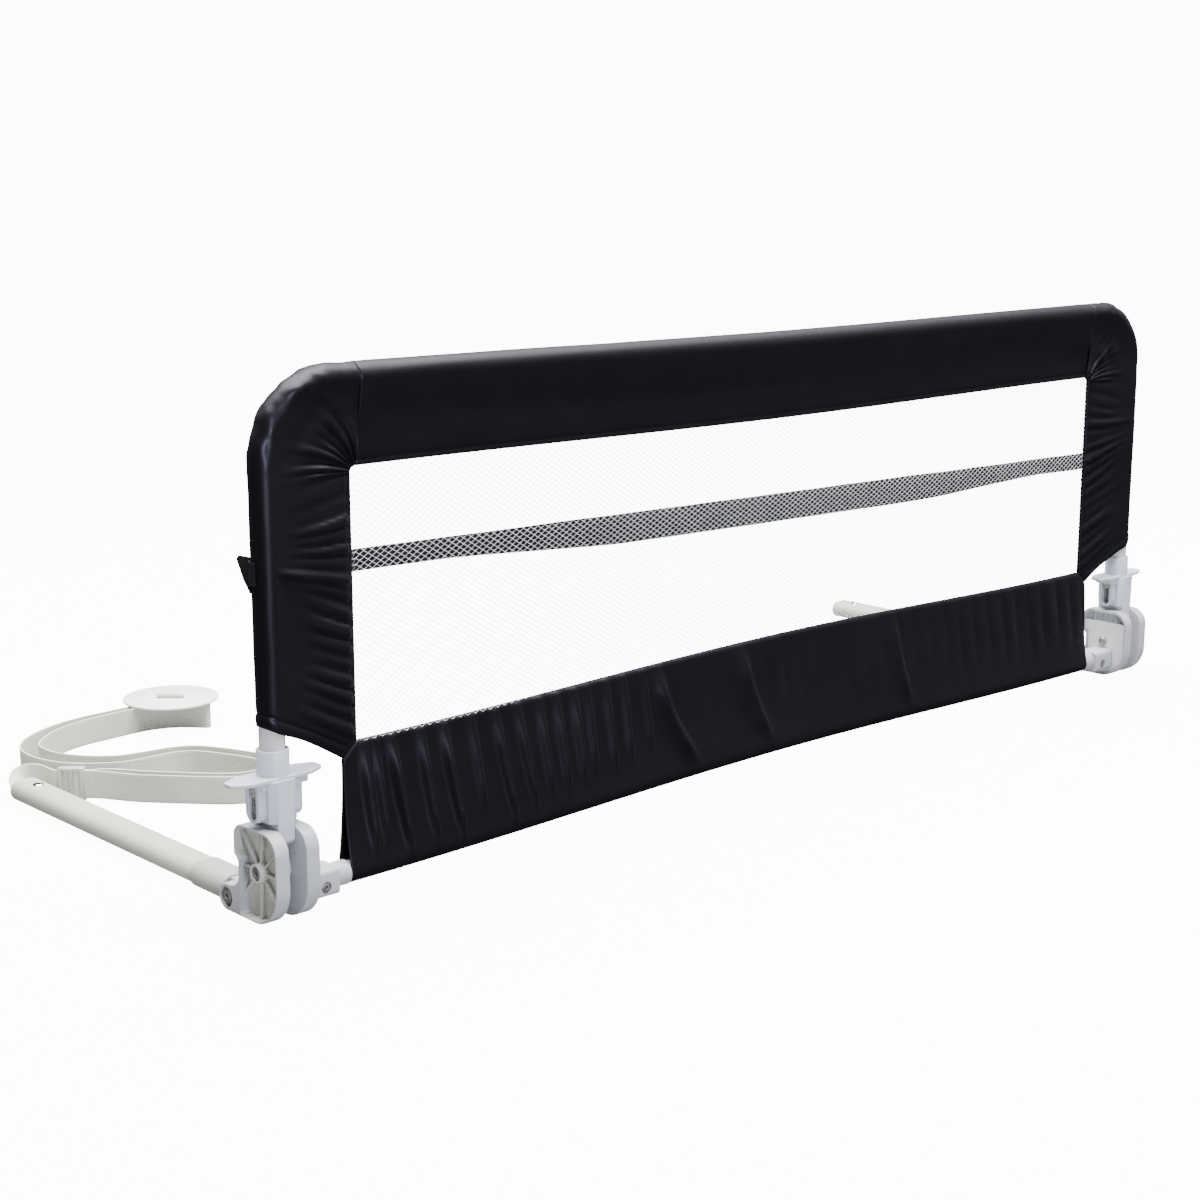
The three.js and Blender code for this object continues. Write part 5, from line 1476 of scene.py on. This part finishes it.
def netSheet():
    columns = round(2 * rail["windowHalf"] / net["pitchX"])
    rowsUp = round((rail["windowTop"] - rail["windowBottom"]) / net["pitchZ"])
    points, index, faces = [], {}, []

    def at(i, j):
        if (i, j) not in index:
            index[(i, j)] = len(points)
            points.append(netPlace(i / (2 * columns), j / (2 * rowsUp)))
        return index[(i, j)]

    for j in range(0, 2 * rowsUp + 1):
        for i in range(0, 2 * columns + 1):
            if (i + j) % 2 == 0:
                continue
            corners = [(i, j - 1), (i + 1, j), (i, j + 1), (i - 1, j)]
            inside = [(a, b) for a, b in corners if 0 <= a <= 2 * columns and 0 <= b <= 2 * rowsUp]
            if len(inside) == 4:
                faces.append([at(a, b) for a, b in inside])
    mesh = bpy.data.meshes.new("net")
    mesh.from_pydata(points, [], faces)
    piece = faceOutwards(uprightRun(linkNew("netWindow", mesh)))
    addModifier(
        piece, "WIREFRAME", thickness=net["yarn"], offset=0, use_even_offset=False,
        use_replace=True, use_boundary=True,
    )
    applyModifiers(piece)
    pick(piece)
    bpy.ops.object.shade_smooth()
    return piece


netPiece = finishPiece(netSheet(), "rail", "net", cloths["netYarn"], "net_window")
print("net made:", len(netPiece.data.polygons), "faces")


# Reinforcing band behind the net, and its sewn tail

band = {
    "width": 0.025, "drawnWidth": 0.0165, "thickness": 0.001, "topMiddle": 0.2539,
    "slope": 0.0185, "tail": 0.016, "tailHalf": 1.2, "overTube": 0.0005, "behindNet": 0.0014,
    "sway": 0.0004, "ripple": 0.0006, "wrapStart": -15, "wrapTurn": 105,
}


# The window's seams draw the band narrower towards its ends.
def bandWidthAt(x):
    drawn = smoothStep(0.17, 0.40, abs(x))
    return band["width"] + (band["drawnWidth"] - band["width"]) * drawn


def bandHeightAt(x):
    return band["topMiddle"] - band["slope"] * x - bandWidthAt(x) / 2


def bandSheet():
    inner = rail["ringRadius"] + band["overTube"]

    def wrap(sign):  # round an upright, from outside to the back
        stations = []
        for i in range(15):
            turn = math.radians(band["wrapStart"] + band["wrapTurn"] * i / 14)
            stations.append((
                sign * (rail["uprightX"] + inner * math.cos(turn)),
                rail["plane"] + inner * math.sin(turn),
                Vector((sign * math.cos(turn), math.sin(turn), 0)),
            ))
        return stations

    stations = wrap(-1)
    for i in range(1, 200):
        x = -rail["uprightX"] + 2 * rail["uprightX"] * i / 200
        past = max(0, abs(x) - rail["windowHalf"])
        share = past / (rail["uprightX"] - rail["windowHalf"])
        y = band["behindNet"] + (inner - band["behindNet"]) * share
        y += band["sway"] * (1 + softNoise(x * 9, 2)) * (1 - share)
        stations.append((x, rail["plane"] + y, Vector((0, 1, 0))))
    stations += wrap(1)[::-1]
    rows = []
    for x, y, out in stations:
        middle = bandHeightAt(x)
        half = bandWidthAt(x) / 2
        t = band["thickness"]
        ripple = band["ripple"] * softNoise(x * 14, 9)
        heights = [middle - half + 2 * half * i / 8 + ripple for i in range(9)]
        ring = [(x, y, z) for z in heights]
        ring += [(x + out.x * t, y + out.y * t, z) for z in heights[::-1]]
        rows.append(ring)
    piece = clothPiece("reinforcingBand", rows, closed=True, capped=True)
    return smoothEdges(faceOutwards(piece), 40)


def bandTail():
    outer = (rail["ringRadius"] + 0.0006 + band["thickness"]) * 1000
    shift, thick = rail["ringRadius"] * 500, band["tailHalf"]
    root = math.sqrt(outer ** 2 - (shift - thick) ** 2)
    middle = bandHeightAt(-rail["uprightX"] - shift / 1000) * 1000 - 1
    reach, wide = band["tail"] * 1000, band["width"] * 1000
    outline = [
        (root, middle - wide * 0.6), (root + reach * 0.5, middle - wide * 0.24),
        (root + reach, middle + wide * 0.32), (root + reach * 0.85, middle + wide * 0.42),
        (root, middle + wide * 0.44),
    ]
    x = -rail["uprightX"] * 1000 - shift
    piece = outlinePiece("bandTail", [outline], x - thick, x + thick, 0.35)
    piece.location = (0, rail["plane"], 0)
    return uprightRun(applyPlace(piece), math.pi / 2)


bandPiece = finishPiece(
    bandSheet(), "rail", "band_cloth", cloths["bandCloth"], "reinforcing_band"
)
tailPiece = finishPiece(bandTail(), "rail", "band_cloth", cloths["bandCloth"], "band_tab")
print("band made")


# Strap, in millimetres. Its lead and its route give places across and back from the end of
# the left arm, as shares of the reach. A lead row adds the lift off the floor and the roll.
# A route row adds the room between the two layers and the lift.

strap = {
    "width": 25.0, "thickness": 1.5, "reach": 245.0, "armEnd": 383.0, "spread": 10.0,
    "lifted": 15.0, "gap": 0.3, "foldReach": 3.0,
}
strapLead = [
    (0, -0.08, 1, 1), (0, -0.02, 1, 1), (0.002, 0.024, 1, 0.72), (0.014, 0.052, 1, 0.38),
    (0.037, 0.06, 1, 0.12), (0.061, 0.043, 1, 0), (0.073, 0.01, 1, 0), (0.074, -0.035, 1, 0),
    (0.076, -0.068, 1, 0), (0.088, -0.0895, 1, 0),
]
strapRoute = [
    (0.1185, -0.118, 0, 1), (0.142, -0.14, 0, 1), (0.165, -0.162, 0.03, 1),
    (0.2, -0.187, 0.26, 0.95), (0.245, -0.232, 0.42, 0.6), (0.292, -0.286, 0.45, 0.25),
    (0.348, -0.345, 0.44, 0.06), (0.438, -0.445, 0.42, 0), (0.515, -0.52, 0.44, 0),
    (0.59, -0.553, 0.48, 0), (0.665, -0.535, 0.52, 0), (0.712, -0.468, 0.56, 0),
    (0.715, -0.39, 0.6, 0), (0.69, -0.31, 0.64, 0), (0.65, -0.22, 0.66, 0),
    (0.6, -0.14, 0.68, 0), (0.53, -0.105, 0.72, 0), (0.44, -0.095, 0.8, 0),
    (0.345, -0.08, 0.92, 0), (0.278, -0.04, 1, 0), (0.222, 0.015, 1.05, 0),
    (0.181, 0.085, 1.02, 0), (0.16, 0.165, 0.92, 0), (0.162, 0.25, 0.8, 0),
    (0.192, 0.325, 0.7, 0), (0.252, 0.39, 0.64, 0), (0.33, 0.444, 0.56, 0),
    (0.425, 0.485, 0.48, 0), (0.53, 0.507, 0.42, 0), (0.64, 0.514, 0.37, 0),
    (0.73, 0.518, 0.33, 0), (0.81, 0.511, 0.3, 0), (0.907, 0.472, 0.3, 0),
    (0.987, 0.386, 0.26, 0),
]


# A smooth run through rows of numbers, in even steps.
def smoothed(rows, steps):
    spans = len(rows) - 1
    made = []
    for n in range(steps + 1):
        position = spans * n / steps
        index = min(spans - 1, int(position))
        share = position - index
        picks = [rows[max(0, min(spans, i))] for i in range(index - 1, index + 3)]
        values = []
        for a, b, c, d in zip(*picks):
            curve = (2 * a - 5 * b + 4 * c - d) * share + (3 * (b - c) + d - a) * share ** 2
            values.append(b + share * (c - a + curve) / 2)
        made.append(values)
    return made


def onStrapGround(across, back):
    return Vector((
        -rail["uprightX"] * 1000 + across * strap["reach"],
        strap["armEnd"] + back * strap["reach"], 0,
    ))


def headings(points):
    ways = []
    for i in range(len(points)):
        before, after = points[max(0, i - 1)], points[min(len(points) - 1, i + 1)]
        ways.append((after - before).normalized())
    return ways


def strapPlaces():
    places = [(onStrapGround(a, b), lift, roll) for a, b, lift, roll in smoothed(strapLead, 45)]
    rows = smoothed(strapRoute, 264)
    middle = [onStrapGround(a, b) for a, b, _, _ in rows]
    ways = headings(middle)

    def layer(sign):
        made = []
        for (_, _, spread, lift), at, way in zip(rows, middle, ways):
            room = strap["thickness"] / 2 + strap["gap"] + spread * strap["spread"]
            left = Vector((-way.y, way.x, 0))
            made.append((at + left * sign * room, lift, 0))
        return made

    outward, back = layer(-1), layer(1)[::-1]
    end, way = middle[-1], ways[-1]
    room = strap["thickness"] / 2 + strap["gap"] + rows[-1][2] * strap["spread"]
    fold = []
    for i in range(1, 10):
        turn = math.pi * i / 10 - math.pi / 2
        left = Vector((-way.y, way.x, 0)) * room * math.sin(turn)
        fold.append((end + left + way * strap["foldReach"] * math.cos(turn), 0, 0))
    return places + outward + fold + back[:-8]


# The webbing's outline across its run, with rounded edges.
def webbingSection(half, thick):
    soft, across = 0.45, 10
    flat = half - soft
    section = arcPoints((flat, thick - soft), soft, 0, 90, 3)
    section += [(flat - 2 * flat * i / across, thick) for i in range(1, across)]
    section += arcPoints((-flat, thick - soft), soft, 90, 180, 3)
    section += arcPoints((-flat, soft - thick), soft, 180, 270, 3)
    section += [(2 * flat * i / across - flat, -thick) for i in range(1, across)]
    return section + arcPoints((flat, soft - thick), soft, 270, 360, 3)


def strapSheet():
    places = strapPlaces()
    ways = headings([at for at, _, _ in places])
    section = webbingSection(strap["width"] / 2, strap["thickness"] / 2)
    rows = []
    for (at, lift, roll), way in zip(places, ways):
        left = Vector((-way.y, way.x, 0))
        turn = roll * math.pi / 2
        wide = left * math.sin(turn) + Vector((0, 0, math.cos(turn)))
        thick = left * math.cos(turn) - Vector((0, 0, math.sin(turn)))
        upright = strap["width"] / 2 + (strap["lifted"] - strap["width"] / 2) * lift
        middle = Vector((at.x, at.y, upright + (armZ - upright) * roll))
        ring = []
        for a, b in section:
            p = middle + wide * a + thick * b
            ring.append((p.x / 1000, p.y / 1000 + rail["plane"], p.z / 1000))
        rows.append(ring)
    piece = clothPiece("webbing", rows, closed=True, capped=True)
    return smoothEdges(faceOutwards(piece), 60)


disc = {
    "share": (0.909, 0.523), "turn": -43, "radius": 46, "thickness": 2.4, "height": 25.3,
    "slotLength": 28, "slotWidth": 7.4, "slotShift": 3.6, "bightRise": 4.4, "bightGap": 1.4,
}


def atDisc(piece):
    centre = onStrapGround(*disc["share"])
    piece.rotation_euler = (0, 0, math.radians(disc["turn"]))
    piece.location = (centre.x / 1000, centre.y / 1000 + rail["plane"], 0)
    return applyPlace(piece)


def strapBight():
    outer = strap["thickness"] + disc["bightGap"] / 2
    top = disc["height"] + disc["thickness"] + disc["bightRise"]
    foot = strap["width"] / 2
    shell = [(-outer, foot), (outer, foot)] + arcPoints((0, top - outer), outer, 0, 180, 16)
    gap = disc["bightGap"] / 2
    hole = [(-gap, foot + 1.5), (gap, foot + 1.5)] + arcPoints((0, top - outer), gap, 0, 180, 10)
    moved = [[(y - disc["slotShift"], z) for y, z in outline] for outline in (shell, hole)]
    half = strap["width"] / 2
    piece = atDisc(outlinePiece("bight", moved, -half, half, 0.3))
    return uprightRun(piece, math.radians(disc["turn"]))


def anchorDisc():
    radius, low = disc["radius"], disc["height"]
    high = low + disc["thickness"]
    profile = [
        (0, low), (radius - 0.8, low), (radius - 0.2, low + 0.4), (radius, low + 1.2),
        (radius - 0.2, high - 0.4), (radius - 0.8, high), (0, high),
    ]
    body = turnedPiece("disc", profile, (0, 0, 0), "z", 96)
    slot = roundedOutline(
        disc["slotLength"] / 2, disc["slotWidth"] / 2, 1.8, (0, -disc["slotShift"])
    )
    return atDisc(cutAway(body, cutter([slot], low - 3, high + 3, "z")))


def strapSlider():
    slider = {"length": 22.5, "skin": 1.2, "room": 2.4, "wall": 2.2, "bar": 3.5}
    half = strap["width"] / 2 + 0.3 + slider["wall"]
    thick = slider["room"] + slider["skin"]
    long, room, wall = slider["length"] / 2, slider["room"], slider["wall"]
    body = boxPiece("slider", (-long, -thick, 0), (long, thick, 2 * half), 0.9, 3)
    cutAway(body, boxPiece("throat", (-20, -room, wall), (20, room, 2 * half - wall)))
    window = (slider["length"] - 3 * slider["bar"]) / 2
    across = strap["width"] / 2
    for sign in (-1, 1):
        middle = sign * (window + slider["bar"]) / 2
        lows = (middle - window / 2, -10, half - across)
        cutAway(body, boxPiece("window", lows, (middle + window / 2, -1, half + across)))
    start, ahead = onStrapGround(*strapRoute[0][:2]), onStrapGround(*strapRoute[1][:2])
    body.rotation_euler = (0, 0, math.atan2(ahead.y - start.y, ahead.x - start.x))
    body.location = (start.x / 1000, start.y / 1000 + rail["plane"], 0)
    return smoothEdges(applyPlace(body))


sliderPiece = finishPiece(
    strapSlider(), "left_arm", "slider_plastic", plastics["sliderPlastic"], "strap_slider"
)
discPiece = finishPiece(
    anchorDisc(), "left_arm", "disc_plastic", plastics["discPlastic"], "anchor_disc"
)
strapPiece = joinPieces("webbingStrap", [strapSheet(), strapBight()])
strapPiece = finishPiece(strapPiece, "left_arm", "webbing", cloths["webbing"], "strap")
print("strap made")
